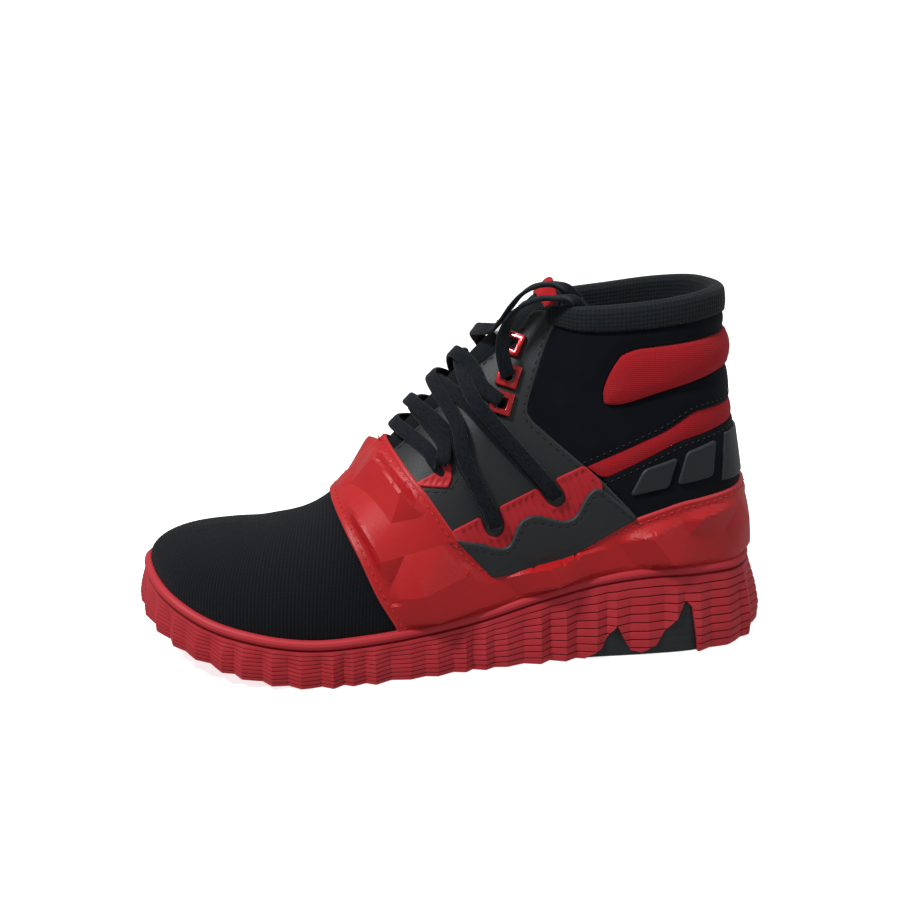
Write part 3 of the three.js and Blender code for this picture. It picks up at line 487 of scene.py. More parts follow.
# quads between rings of points, each ring closed on itself
def bandFaces(count, around):
    steps = [(k, (k + 1) % around) for k in range(around)]
    return [[i * around + k, (i + 1) * around + k, (i + 1) * around + n, i * around + n]
            for i in range(count - 1) for k, n in steps]


def placePiece(piece, nodes, body="shoe"):
    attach(piece, body)
    if nodes:
        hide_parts(*nodes)
    return piece


# laces first: the free ends are cords
laceSize = {"width": 6.5, "thickness": 2.2, "section": 16, "step": 0.9, "agletRadius": 1.5, "agletLength": 14}
looseEnds = {  # each stop: its place, and the way the lace's width runs there
    "lateral": [
        ((17.6, -26.6, 130.5), (1, 0.1, 0.2)), ((16, -27.2, 136), (1, 0.1, 0.1)),
        ((15, -26.8, 142), (1, 0.2, 0)), ((15.5, -25.8, 148), (0.9, 0.4, -0.1)),
        ((17.5, -25, 153.5), (0.7, 0.7, -0.3)), ((21, -24.6, 158.5), (0.4, 0.9, -0.3)),
        ((26, -24.4, 162), (0.1, 1, -0.1)), ((32, -24.4, 164), (0, 1, 0)),
        ((38, -24.4, 164), (0, 1, 0.1)), ((43.5, -23.6, 163.6), (0.2, 1, 0.2)),
        ((48.5, -21.8, 161), (0.6, 0.3, 0.6)), ((53, -20.4, 155.5), (0.9, 0.1, 0.5)),
        ((57.2, -19.8, 148), (0.9, 0, 0.4)), ((60.6, -19.4, 139), (1, 0, 0.3)),
        ((63, -19.6, 129), (1, 0, 0.2)), ((64.6, -19.3, 119), (1, 0, 0.1)),
        ((65.6, -19.1, 109), (1, 0, 0.1)),
    ],
    "medial": [
        ((16.6, 25.4, 132), (1, -0.1, 0.3)), ((12.6, 22, 138), (0.8, -0.2, 0.6)),
        ((9, 14, 143), (0.6, 0, 0.8)), ((7.6, 5, 146), (0.6, 0.1, 0.8)),
        ((9.4, -4, 147.5), (0.6, 0.2, 0.8)), ((14, -12, 149.5), (0.7, 0.4, 0.6)),
        ((17, -16.2, 154.5), (0.6, 0.7, 0.3)), ((20.4, -18, 160), (0.4, 0.9, -0.2)),
        ((24.6, -18.8, 165), (0.2, 1, -0.2)), ((30, -19.2, 168.4), (0, 1, 0)),
        ((36, -19.3, 169.4), (0, 1, 0)), ((41.6, -18, 168.2), (0.3, 0.7, 0.2)),
        ((46.6, -16.8, 165), (0.6, 0.2, 0.6)), ((51.6, -15.8, 159), (0.9, 0.1, 0.5)),
        ((56.4, -15, 150), (0.9, 0, 0.4)), ((60.4, -14.6, 139.5), (1, 0, 0.3)),
        ((63, -14.4, 128.5), (1, 0, 0.2)), ((64.8, -14.3, 118), (1, 0, 0.1)),
        ((66, -14.2, 107.5), (1, 0, 0.1)),
    ],
}


# centripetal Catmull-Rom through the points, close enough together to sweep along
def through(points, step):
    points = np.asarray(points, float)
    ends = np.concatenate([[2 * points[0] - points[1]], points, [2 * points[-1] - points[-2]]])
    out, at = [], []
    for i in range(1, len(ends) - 2):
        p0, p1, p2, p3 = ends[i - 1:i + 3]
        t0, t1, t2 = (max(np.linalg.norm(b - a), 1e-4) ** 0.5 for a, b in ((p0, p1), (p1, p2), (p2, p3)))
        count = max(2, int(round(np.linalg.norm(p2 - p1) / step)))
        m1 = ((p1 - p0) / t0 - (p2 - p0) / (t0 + t1) + (p2 - p1) / t1) * t1
        m2 = ((p2 - p1) / t1 - (p3 - p1) / (t1 + t2) + (p3 - p2) / t2) * t1
        for k in range(count):
            t = k / count
            out.append((2 * t ** 3 - 3 * t ** 2 + 1) * p1 + (t ** 3 - 2 * t ** 2 + t) * m1
                       + (3 * t ** 2 - 2 * t ** 3) * p2 + (t ** 3 - t ** 2) * m2)
            at.append(i - 1 + t)
    out.append(points[-1])
    at.append(len(points) - 1.0)
    return np.array(out), np.array(at)


def sweepLace(name, points, widths, nodes):
    centre, at = through(points, laceSize["step"])
    widths = unit(np.asarray(widths, float))
    across = np.column_stack([np.interp(at, np.arange(len(widths)), widths[:, k]) for k in range(3)])
    tangent = unit(np.gradient(centre, axis=0))
    across = unit(across - tangent * (across * tangent).sum(1, keepdims=True))
    up = np.cross(tangent, across)
    turns = 2 * np.pi * np.arange(laceSize["section"]) / laceSize["section"]
    wide = np.sign(np.cos(turns)) * np.abs(np.cos(turns)) ** 0.55 * laceSize["width"] / 2
    tall = np.sin(turns) * laceSize["thickness"] / 2 * (1 - 0.18 * (1 - np.abs(np.cos(turns))) ** 2)
    rings = centre[:, None] + across[:, None] * wide[:, None] + up[:, None] * tall[:, None]
    count, around = rings.shape[:2]
    run = np.concatenate([[0], np.cumsum(np.linalg.norm(np.diff(centre, axis=0), axis=1))])
    faces = [[i * around + k, i * around + (k + 1) % around, (i + 1) * around + (k + 1) % around,
              (i + 1) * around + k] for i in range(count - 1) for k in range(around)]
    faces.append(list(range(around))[::-1])
    faces.append([(count - 1) * around + k for k in range(around)])
    uv = np.column_stack([np.repeat(run, around), np.tile(wide, count)])
    piece = newPiece(name, rings.reshape(-1, 3), faces, "braid", nodes, uv=uv)
    return piece, centre, run[-1]


def makeLooseEnd(name, stops):
    points, widths = [s[0] for s in stops], [s[1] for s in stops]
    piece, centre, length = sweepLace(f"loose_lace_{name}", points, widths, [f"lace_end_{name}"])
    along = unit((centre[-1] - centre[-2])[None])[0]
    side = unit(np.cross(along, [0, 1.0, 0])[None])[0]
    other = np.cross(along, side)
    wide, long, around = laceSize["agletRadius"], laceSize["agletLength"], 14
    radii = [0.0, 1.1, wide, wide, 1.42, wide, wide, 1.1, 0.0]
    places = [0.0, 0.0, 0.6, 4.5, 4.9, 5.3, long - 1, long, long]
    turns = 2 * np.pi * np.arange(around) / around
    start = centre[-1] + along * 0.3
    rings = np.array([[start + along * p + (side * np.cos(a) + other * np.sin(a)) * r for a in turns]
                      for r, p in zip(radii, places)])
    faces = bandFaces(len(radii), around)
    tip = newPiece(f"lace_tip_{name}", rings.reshape(-1, 3), faces, "aglet", [f"aglet_{name}"],
                   weld=1e-6)
    print("loose lace", name, "length mm", round(length, 1))


for endName, endStops in looseEnds.items():
    makeLooseEnd(endName, endStops)

tongueDirection = unit((tongueTop - tongueRoot)[None])[0]
tongueNormal = np.array([-tongueDirection[2], 0, tongueDirection[0]])
flatLift = 1.9
highLift = 5.0


def ridgeStop(up, lift, y=0.0):
    point = tongueRoot + tongueDirection * up + tongueNormal * lift
    return point + np.array([0, y, 0]), tongueNormal


def sideStop(sign, x, z, lift):
    uv, _ = seat([[x, z]], sign)
    return onUpper(uv[:, 0], uv[:, 1], lift)[0], wallNormal(uv[:, 0], uv[:, 1])[0]


def lacing(first, crossLift):
    second = -first
    stops = [ridgeStop(16, flatLift, 4 * first)]
    low = [(-17, 97, 1.2), (-13.5, 92, 2), (-11, 93, 3.4), (-10, 99, 2)]
    stops += [sideStop(first, x, z, flatLift + more) for x, z, more in low]
    stops.append(ridgeStop(28, crossLift))
    low = [(-9, 105, 1), (-4, 95, 0), (2, 83, 0), (8.5, 69, 0), (10, 66, 1.5)]
    stops += [sideStop(second, x, z, flatLift + more) for x, z, more in low]
    stops += [sideStop(second, x, z, highLift) for x, z in [(8.5, 70), (2, 84), (-2, 95), (-3, 107)]]
    stops.append(ridgeStop(43, crossLift))
    low = [(1, 117, 1), (7, 110, 0), (17, 99, 0), (29, 86.5, 0), (36.5, 79, 0), (38, 77.5, 1.5)]
    stops += [sideStop(first, x, z, flatLift + more) for x, z, more in low]
    stops += [sideStop(first, x, z, highLift) for x, z in [(35.5, 81), (24, 94), (12, 108), (4, 119)]]
    stops.append(ridgeStop(58, crossLift))
    low = [(5, 131, 1), (7, 125, 1.4), (11, 121, 2.2), (14.5, 118.5, 2.7)]
    stops += [sideStop(second, x, z, flatLift + more) for x, z, more in low]
    return stops


def makeLace():
    stops = lacing(-1, flatLift)[::-1] + lacing(1, highLift)
    points = np.array([s[0] for s in stops])
    run = np.gradient(points, axis=0)
    widths = unit(np.cross([s[1] for s in stops], run))
    for i in range(1, len(widths)):
        if widths[i] @ widths[i - 1] < 0:
            widths[i] *= -1
    sweepLace("lace_through_eyelets", points, widths, ["lace"])


makeLace()
print("laces made")


# panels cut to an outline, sewn over the last
def pathDistance(points, lines, tries=4):
    starts = np.concatenate([line[:-1] for line in lines])
    spans = np.concatenate([line[1:] for line in lines]) - starts
    cuts = np.maximum(np.ceil(np.linalg.norm(spans, axis=1) / 1.2), 1).astype(int)
    which = np.repeat(np.arange(len(cuts)), cuts)
    part = np.concatenate([np.arange(n) for n in cuts])
    spans = spans[which] / cuts[which][:, None]
    starts = starts[which] + spans * part[:, None]
    tree = KDTree(len(starts))
    for k, middle in enumerate((starts + spans / 2).tolist()):
        tree.insert(middle, k)
    tree.balance()
    near = np.array([[found[1] for found in tree.find_n(p, tries)] for p in np.asarray(points).tolist()])
    away = np.asarray(points)[:, None] - starts[near]
    run = spans[near]
    t = np.clip((away * run).sum(-1) / np.maximum((run ** 2).sum(-1), 1e-12), 0, 1)
    return np.sqrt(((away - run * t[..., None]) ** 2).sum(-1)).min(1)


def insideOf(points, ring, chunk=4000):
    a, b = ring, np.roll(ring, -1, axis=0)
    out = []
    for k in range(0, len(points), chunk):
        x, y = points[k:k + chunk, 0:1], points[k:k + chunk, 1:2]
        crosses = (a[:, 1] > y) != (b[:, 1] > y)
        rise = np.where(np.abs(b[:, 1] - a[:, 1]) < 1e-12, 1e-12, b[:, 1] - a[:, 1])
        out.append((crosses & (x < (b[:, 0] - a[:, 0]) * (y - a[:, 1]) / rise + a[:, 0])).sum(1) % 2 == 1)
    return np.concatenate(out)


def signedArea(ring):
    after = np.roll(ring, -1, axis=0)
    return 0.5 * (ring[:, 0] * after[:, 1] - after[:, 0] * ring[:, 1]).sum()


def inwards(flat, turn=1.0):
    along = unit(np.gradient(flat, axis=0))
    return np.column_stack([-along[:, 1], along[:, 0]]) * turn


def makeRing(edges):
    parts, real = [], []
    for uv, isEdge in edges:
        flat = dense(toFlat(np.asarray(uv, float)), 1.1)
        if parts and np.linalg.norm(parts[-1][-1] - flat[0]) < 0.15:
            flat = flat[1:]
        parts.append(flat)
        real += [isEdge] * len(flat)
    ring = np.concatenate(parts)
    keep = np.linalg.norm(ring - np.roll(ring, 1, axis=0), axis=1) > 0.12
    ring, real = ring[keep], np.array(real)[keep]
    if signedArea(ring) < 0:
        ring, real = ring[::-1], real[::-1]
    return ring, real


def makePanel(name, edges, finish, nodes, low, high, spacing=1.6, holes=(), shape=None, extra=None,
              weld=0.0, corner=0.9, rows=(0.3, 0.7, 1.3, 2.2)):
    ring, real = makeRing(edges)
    rings = [ring] + [makeRing([(hole, True)])[0][::-1] for hole in holes]
    isReal = [real] + [np.ones(len(r), bool) for r in rings[1:]]
    edge3d = []
    for r, flags in zip(rings, isReal):
        closed3d = onUpper(*fromFlat(np.concatenate([r, r[:1]])).T)
        both = flags & np.roll(flags, -1)
        edge3d += [closed3d[i:i + 2] for i in np.nonzero(both)[0]]
    edge3d = [np.array(e) for e in edge3d]
    candidates = []
    for r in rings:
        push = inwards(np.concatenate([r[-1:], r, r[:1]]))[1:-1]
        candidates += [np.column_stack([r + push * d, np.full(len(r), d)]) for d in rows]
    low2, high2 = ring.min(0), ring.max(0)
    across = np.arange(low2[0], high2[0], spacing)
    upward = np.arange(low2[1], high2[1], spacing * 0.87)
    gridS, gridT = np.meshgrid(across, upward)
    gridS = gridS + (np.arange(len(upward)) % 2)[:, None] * spacing / 2
    candidates.append(np.column_stack([gridS.ravel(), gridT.ravel(), np.full(gridS.size, -1.0)]))
    if extra is not None:
        lattice = candidates.pop()
        points3 = np.column_stack([lattice[:, :2], np.zeros(len(lattice))])
        lines = [np.column_stack([line, np.zeros(len(line))]) for line in extra]
        candidates.append(lattice[pathDistance(points3, lines) > spacing * 0.55])
        spots = np.concatenate([dense(line, spacing * 0.7) for line in extra])
        candidates.append(np.column_stack([spots, np.full(len(spots), -2.0)]))
    found = np.concatenate(candidates)
    keep = insideOf(found[:, :2], ring)
    for hole in rings[1:]:
        keep &= ~insideOf(found[:, :2], hole)
    found = found[keep]
    reach = pathDistance(onUpper(*fromFlat(found[:, :2]).T), edge3d)
    limit = np.where(found[:, 2] > 0, found[:, 2] * 0.75, rows[-1] + spacing * 0.6)
    found = found[reach > limit]
    flat = np.concatenate(rings + [found[:, :2]])
    links, start = [], 0
    for r in rings:
        links += [(start + i, start + (i + 1) % len(r)) for i in range(len(r))]
        start += len(r)
    made = delaunay_2d_cdt([Vector(p) for p in flat.tolist()], links, [], 0, 1e-4)
    flat2 = np.array([tuple(p) for p in made[0]])
    faces = np.array([f for f in made[2] if len(f) == 3])
    middle = flat2[faces].mean(1)
    keep = insideOf(middle, ring)
    for hole in rings[1:]:
        keep &= ~insideOf(middle, hole)
    faces = faces[keep]
    turned = np.cross(flat2[faces[:, 1]] - flat2[faces[:, 0]], flat2[faces[:, 2]] - flat2[faces[:, 0]]) < 0
    faces[turned] = faces[turned][:, ::-1]
    uv = fromFlat(flat2)
    base = onUpper(uv[:, 0], uv[:, 1])
    away = pathDistance(base, edge3d)
    full = 0.3 + 0.7 * np.sqrt(1 - (1 - np.minimum(away / corner, 1)) ** 2)
    lift = low + (high - low) * full
    if shape is not None:
        lift = lift + shape(flat2, base, away)
    count = len(flat2)
    points = np.concatenate([onUpper(uv[:, 0], uv[:, 1], lift), onUpper(uv[:, 0], uv[:, 1], low)])
    walls, where = [], {}
    for out, sources in enumerate(made[3]):
        for source in sources:
            where[source] = out
    flags = np.concatenate(isReal)
    for i, j in links:
        if flags[i] and flags[j] and i in where and j in where:
            a, b = where[i], where[j]
            walls.append([a, b, b + count, a + count])
    allFaces = faces[:, ::-1].tolist() + (faces + count).tolist() + walls
    piece = newPiece(name, points, allFaces, finish, nodes, uv=np.concatenate([flat2, flat2]),
                     attributes={"edgeDistance": np.concatenate([away, away])}, weld=weld)
    return piece


def ridgeAt(x):
    u = np.linspace(6, 13, 701)
    return float(np.interp(-x, -topPoint(u)[:, 0], u))


def line(a, b, count=40):
    t = np.linspace(0, 1, count)[:, None]
    return np.array(a, float) * (1 - t) + np.array(b, float) * t


# an edge that wraps round the heel: outer side from front to back, then the inner side
def roundHeel(points, cut=2.0):
    outer = edgeOn(points, -1, cut=cut)
    inner = edgeOn(points, 1, cut=cut)
    return np.concatenate([outer[outer[:, 0] > 0.04], inner[inner[:, 0] < -0.04][::-1]])


# where the quarters' front edges stand, beside the tongue
def throatEdge(sign, half=12.0, fromU=5.02, toU=7.86):
    u = np.linspace(toU, fromU, 60)
    v = np.linspace(0.3, 1, 300)
    out = []
    for at in u:
        y = np.abs(onUpper(-sign * np.full(300, at), v)[:, 1])
        out.append((-sign * at, v[np.nonzero(y >= half)[0][-1]] if (y >= half).any() else 1.0))
    return np.array(out)


outlines = {
    "vampRear": [(-26, 0), (-30, 60), (-40.5, 92), (-41, 96)],
    "quarterRear": [(37, 158), (41, 156), (36, 144), (26, 116), (27, 112), (37, 103), (52, 90), (60, 83),
                    (76, 66), (80, 50), (80, 20)],
    "padTop": [(60, 118), (58, 123), (64, 137), (69, 142), (120, 147), (160, 150)],
    "padBottom": [(60, 118), (66, 117), (85, 123), (125, 133), (160, 132)],
    "stripeTop": [(52, 90), (69, 97), (88, 105), (101, 113), (125, 115), (160, 116)],
    "stripeBottom": [(52, 90), (60, 84), (76, 91), (95, 100), (124, 106), (160, 105)],
    "heelFront": [(60, 84), (76, 66), (80, 50), (80, 20)],
    "saddleFront": [(-34, 10), (-34, 22), (-43, 38), (-50, 54), (-58, 68), (-64, 76), (-70, 100)],
    "saddleTop": [(-38, 108), (-35, 99), (-25, 87), (-19, 80), (-9, 65), (-1, 54), (9, 47), (21, 48),
                  (42, 52), (73, 65), (97, 72), (128, 75), (170, 77)],
    "wave": [(-9, 62), (-4, 60), (3, 59), (11, 56), (16, 56), (18, 60), (21, 67), (24, 69), (29, 70),
             (35, 68), (42, 66), (47, 68), (51, 76), (54, 80), (58, 81), (76, 66), (42, 48), (9, 42)],
    "strip": [(0, 50), (-9.5, 64.8), (3.6, 70.5), (5.4, 64.8), (7.0, 61.8), (10.6, 60.6), (13.8, 62.6),
              (14.4, 66.2), (11.8, 74.0), (29.5, 81.7), (33.6, 75.8), (35.6, 73.4), (39.4, 72.6),
              (42.4, 75.4), (42.2, 78.4), (37.4, 85.1), (51, 91), (59, 83), (60, 60)],
    "throatTab": [(-24, 84), (-15, 89), (-12, 87), (-11, 89), (-14, 96), (-12, 96.5), (-8, 92), (-8, 87),
                  (-10, 83), (-23, 83)],
    "tab": [(117, 79), (117.5, 90), (118, 101)],
}
eyeletPlaces = [(22, 142), (19, 129), (15, 118)]
stitchRuns = []


def stitchAlong(uv, inset, lift, thread, side=1.0, length=2.4, gap=1.3):
    flat = dense(toFlat(np.asarray(uv, float)), 1.0)
    for _ in range(6):
        flat[1:-1] = (flat[:-2] + 2 * flat[1:-1] + flat[2:]) / 4
    moved = flat + inwards(flat, side) * inset
    at = fromFlat(moved)
    stitchRuns.append({"points": onUpper(at[:, 0], at[:, 1], lift), "normals": wallNormal(at[:, 0], at[:, 1]),
                       "thread": thread, "length": length, "gap": gap})


def makeVamp():
    outer, inner = edgeOn(outlines["vampRear"], -1), edgeOn(outlines["vampRear"], 1)
    inner = inner + np.array([26.0, 0])
    ridge = ridgeAt(-40.4)
    low = -0.07
    rearOuter = np.concatenate([[[outer[0, 0], low]], outer, [[ridge, 1.0]]])
    rearInner = np.concatenate([[[inner[0, 0], low]], inner, [[26 - ridge, 1.0]]])
    top = line((ridge, 1.0), (26 - ridge, 1.0), 120)
    bottom = line((inner[0, 0], low), (outer[0, 0], low), 60)
    makePanel("vamp_knit", [(rearOuter, True), (top, False), (rearInner[::-1], True), (bottom, True)],
              "vampKnit", ["vamp"], -1.2, 0.0, spacing=2.0, weld=2e-5)


def makeQuarter(name, sign):
    front = edgeOn(outlines["vampRear"], sign)
    y = np.abs(onUpper(front[:, 0], front[:, 1])[:, 1])
    front = front[y > 12.2]
    throat = throatEdge(sign, toU=abs(front[-1, 0]))
    rear = edgeOn(outlines["quarterRear"], sign)
    rear = rear[rear[:, 1] < 0.985]
    top = line((-sign * 5.02, 0.985), (rear[0, 0], 0.985), 12)
    low = -0.05
    bottom = line((rear[-1, 0], low), (front[0, 0], low), 60)
    frontFull = np.concatenate([[[front[0, 0], low]], front])
    throat = throat[throat[:, 1] < 0.985]
    rearFull = np.concatenate([rear, [[rear[-1, 0], low]]])
    holes = []
    for x, z in eyeletPlaces:
        uv, _ = seat([[x, z]], sign)
        centre = toFlat(uv)[0]
        turn = np.linspace(0, 2 * np.pi, 25)[:-1]
        ring = centre + np.column_stack([np.cos(turn), np.sin(turn)]) * 1.9
        holes.append(fromFlat(ring))
    ring = [(frontFull, True), (throat, True), (top, True), (rearFull, True), (bottom, True)]
    makePanel(f"quarter_leather_{name}", ring, "leather", [f"quarter_{name}"], -1.2, 0.5,
              holes=holes, corner=1.1,
              shape=lambda flat, base, away: -0.16 * np.exp(-((away - 2.6) / 0.6) ** 2))
    side = 1.0 if sign < 0 else -1.0
    stitchAlong(rear[:-12], 2.4, 0.55, "blackThread", side)
    stitchAlong(throat, 2.4, 0.55, "blackThread", side)
    stitchAlong(top, 2.6, 0.55, "blackThread", side)


def makeCollar():
    bottom = roundHeel(outlines["stripeTop"])
    rear = {}
    for sign in (-1, 1):
        chain = edgeOn(outlines["quarterRear"][:7], sign)
        rear[sign] = chain[chain[:, 1] < 0.93]
    top = line((rear[-1][0, 0], 0.935), (rear[1][0, 0], 0.935), 200)
    pad = np.concatenate([roundHeel(outlines["padTop"], 4.0), roundHeel(outlines["padBottom"], 4.0)[::-1]])
    ring = [(top, True), (rear[1], True), (bottom[::-1], True), (rear[-1][::-1], True)]
    makePanel("collar_suede_panel", ring, "suede", ["collar_suede"], -1.2, 0.1, holes=[pad],
              corner=0.8,
              shape=lambda flat, base, away: 0.55 * smoothStep(away, 0.5, 7)
              - 0.18 * np.exp(-((away - 2.4) / 0.6) ** 2))
    stitchAlong(pad, 2.4, 0.35, "greyThread", side=1.0, length=1.5, gap=1.6)
    stitchAlong(bottom, 2.4, 0.35, "greyThread", side=-1.0, length=1.5, gap=1.6)
    return pad


def makeHeelPieces(pad):
    cushion = makePanel("heel_pad_mesh", [(pad, True)], "stripeMesh", ["heel_pad"], -1.2, 0.2,
                        corner=1.2, spacing=1.8, rows=(0.4, 1.0, 2.0, 3.4),
                        shape=lambda flat, base, away: 2.7 * np.sqrt(1 - (1 - np.minimum(away / 9, 1)) ** 2)
                        - 0.35 * np.exp(-((away - 2.6) / 0.7) ** 2))
    stripe = np.concatenate([roundHeel(outlines["stripeTop"]), roundHeel(outlines["stripeBottom"])[::-1]])
    makePanel("heel_stripe_mesh", [(stripe, True)], "stripeMesh", ["heel_stripe"], -1.2, -0.2,
              corner=0.6, shape=lambda flat, base, away: 0.5 * smoothStep(away, 0.3, 3.5))
    fronts = {sign: edgeOn(outlines["heelFront"], sign) for sign in (-1, 1)}
    top = roundHeel(outlines["stripeBottom"][1:])
    low = -0.05
    bottom = line((fronts[1][-1, 0], low), (fronts[-1][-1, 0], low), 160)
    makePanel("heel_panel_suede", [(top, True), (fronts[1], True), (bottom, True), (fronts[-1][::-1], True)],
              "suede", ["heel_panel"], -1.2, 0.1)
    stitchAlong(top, 2.2, 0.2, "greyThread", side=1.0, length=1.5, gap=1.6)


facets = {"across": 18.0, "up": 15.0, "jitter": 2.2, "heights": (6.8, 0.0, 2.0), "hem": 5.5, "seed": 11}


def makeFacets(low, high):
    draw = random.Random(facets["seed"])
    rows = int((high[1] - low[1]) / facets["up"]) + 3
    columns = int((high[0] - low[0]) / facets["across"]) + 3
    points, heights = [], []
    for j in range(rows):
        for i in range(columns):
            s = low[0] + (i - 1 + 0.5 * (j % 2)) * facets["across"] + draw.uniform(-1, 1) * facets["jitter"]
            t = low[1] + (j - 0.6) * facets["up"] + draw.uniform(-1, 1) * facets["jitter"]
            points.append((max(s, 0.0), t))
            heights.append(facets["heights"][(i + (j // 2) + 2 * (j % 2)) % 3] * draw.uniform(0.8, 1.1))
    made = delaunay_2d_cdt([Vector(p) for p in points], [], [], 0, 1e-4)
    spots = np.array([tuple(p) for p in made[0]])
    tall = np.array([heights[sources[0]] for sources in made[3]])
    triangles = [tuple(f) for f in made[2] if len(f) == 3]
    creases = {tuple(sorted((f[k], f[(k + 1) % 3]))) for f in triangles for k in range(3)}
    return spots, tall, triangles, [spots[list(pair)] for pair in sorted(creases)]


def facetHeight(flat, spots, tall, triangles):
    out = np.zeros(len(flat))
    for a, b, c in triangles:
        pa, pb, pc = spots[a], spots[b], spots[c]
        low, high = np.minimum(np.minimum(pa, pb), pc) - 1e-6, np.maximum(np.maximum(pa, pb), pc) + 1e-6
        chosen = np.nonzero(((flat >= low) & (flat <= high)).all(1))[0]
        det = (pb[1] - pc[1]) * (pa[0] - pc[0]) + (pc[0] - pb[0]) * (pa[1] - pc[1])
        if abs(det) < 1e-6 or not len(chosen):
            continue
        off = flat[chosen] - pc
        la = ((pb[1] - pc[1]) * off[:, 0] + (pc[0] - pb[0]) * off[:, 1]) / det
        lb = ((pc[1] - pa[1]) * off[:, 0] + (pa[0] - pc[0]) * off[:, 1]) / det
        lc = 1 - la - lb
        inside = (la > -1e-4) & (lb > -1e-4) & (lc > -1e-4)
        out[chosen[inside]] = (la * tall[a] + lb * tall[b] + lc * tall[c])[inside]
    return out


def makeSaddle():
    fronts = {sign: edgeOn(outlines["saddleFront"], sign) for sign in (-1, 1)}
    tops = {sign: edgeOn(outlines["saddleTop"], sign) for sign in (-1, 1)}
    ends = {}
    for chains, key in ((fronts, "front"), (tops, "top")):
        index = -1 if key == "front" else 0
        x = onUpper(chains[-1][index:, 0][:1], chains[-1][index:, 1][:1])[0, 0]
        ends[key] = ridgeAt(x)
    low = -0.04
    outerTop, innerTop = tops[-1][tops[-1][:, 0] > 0.04], tops[1][tops[1][:, 0] < -0.04][::-1]
    top = np.concatenate([[[ends["top"], 1.0]], outerTop, innerTop, [[-ends["top"], 1.0]]])
    seamInner = line((-ends["top"], 1.0), (-ends["front"], 1.0), 20)
    frontInner = np.concatenate([[[-ends["front"], 1.0]], fronts[1][::-1], [[fronts[1][0, 0], low]]])
    bottom = line((fronts[1][0, 0], low), (fronts[-1][0, 0], low), 260)
    frontOuter = np.concatenate([[[fronts[-1][0, 0], low]], fronts[-1], [[ends["front"], 1.0]]])
    seamOuter = line((ends["front"], 1.0), (ends["top"], 1.0), 20)
    ring = [(top, True), (seamInner, False), (frontInner, True), (bottom, True), (frontOuter, True),
            (seamOuter, False)]
    flatRing, _ = makeRing(ring)
    spots, tall, triangles, creases = makeFacets((0, flatRing[:, 1].min()), flatRing.max(0))
    creases += [crease * [-1, 1] for crease in creases]

    def emboss(flat, base, away):
        hem = smoothStep(np.where(flat[:, 1] < 12, 30.0, away), facets["hem"] - 1.5, facets["hem"] + 3.2)
        sole = smoothStep(flat[:, 1], 0.5, 3.0)
        groove = -0.2 * np.exp(-((away - 2.7) / 0.6) ** 2)
        mirrorFlat = np.column_stack([np.abs(flat[:, 0]), flat[:, 1]])
        heel = 1 - 0.6 * smoothStep(base[:, 0], 95, 128)
        ridge = smoothStep(1 - fromFlat(flat)[:, 1], 0, 0.16)
        return facetHeight(mirrorFlat, spots, tall, triangles) * hem * sole * heel * ridge + groove + 0.15

    piece = makePanel("saddle_embossed", ring, "facet", ["saddle"], 0.2, 1.7, spacing=1.5,
                      extra=creases, weld=2e-5, corner=1.0, shape=emboss)
    piece.data.set_sharp_from_angle(angle=0.16)
    stitchAlong(top, 2.6, 1.85, "redThread", side=1.0)
    stitchAlong(frontOuter[2:], 2.6, 1.85, "redThread", side=1.0)
    stitchAlong(frontInner[:-2], 2.6, 1.85, "redThread", side=1.0)


def closedOn(points, sign, cut=1.5, step=0.8):
    smooth = rounded(points, cut, closed=True)
    chain, miss = seat(dense(np.concatenate([smooth, smooth[:1]]), step)[:-1], sign)
    return chain[miss < 0.4]


# parallel lines for moulded ribs, drawn in side view and laid on the surface
def ribLines(sign, low, high, lean, pitch, turns=(0.0, 0.28, 0.5, 0.78)):
    along = np.array([np.cos(lean), np.sin(lean)])
    aside = np.array([along[1], -along[0]])
    centre = (np.array(low) + np.array(high)) / 2
    reach = np.linalg.norm(np.array(high) - np.array(low)) / 2
    lines = []
    for k in range(int(-reach / pitch), int(reach / pitch) + 1):
        for turn in turns:
            start = centre + aside * (k + turn) * pitch
            points = start + along * np.linspace(-reach, reach, int(2 * reach / 0.8))[:, None]
            uv, miss = seat(points, sign)
            if (miss < 0.3).sum() > 3:
                lines.append(toFlat(uv[miss < 0.3]))
    return lines, centre, aside


def ribShape(centre, aside, pitch, height):
    def shape(flat, base, away):
        across = ((base[:, [0, 2]] - centre) @ aside) / pitch
        part = np.mod(across, 1.0)
        ridge = smoothStep(part, 0.0, 0.28) * (1 - smoothStep(part, 0.5, 0.78))
        border = smoothStep(away, 1.2, 2.0)
        return height * (ridge * border + (1 - border) * 1.1)
    return shape


ribs = {"pitch": 3.1, "lean": np.radians(112), "height": 0.75}


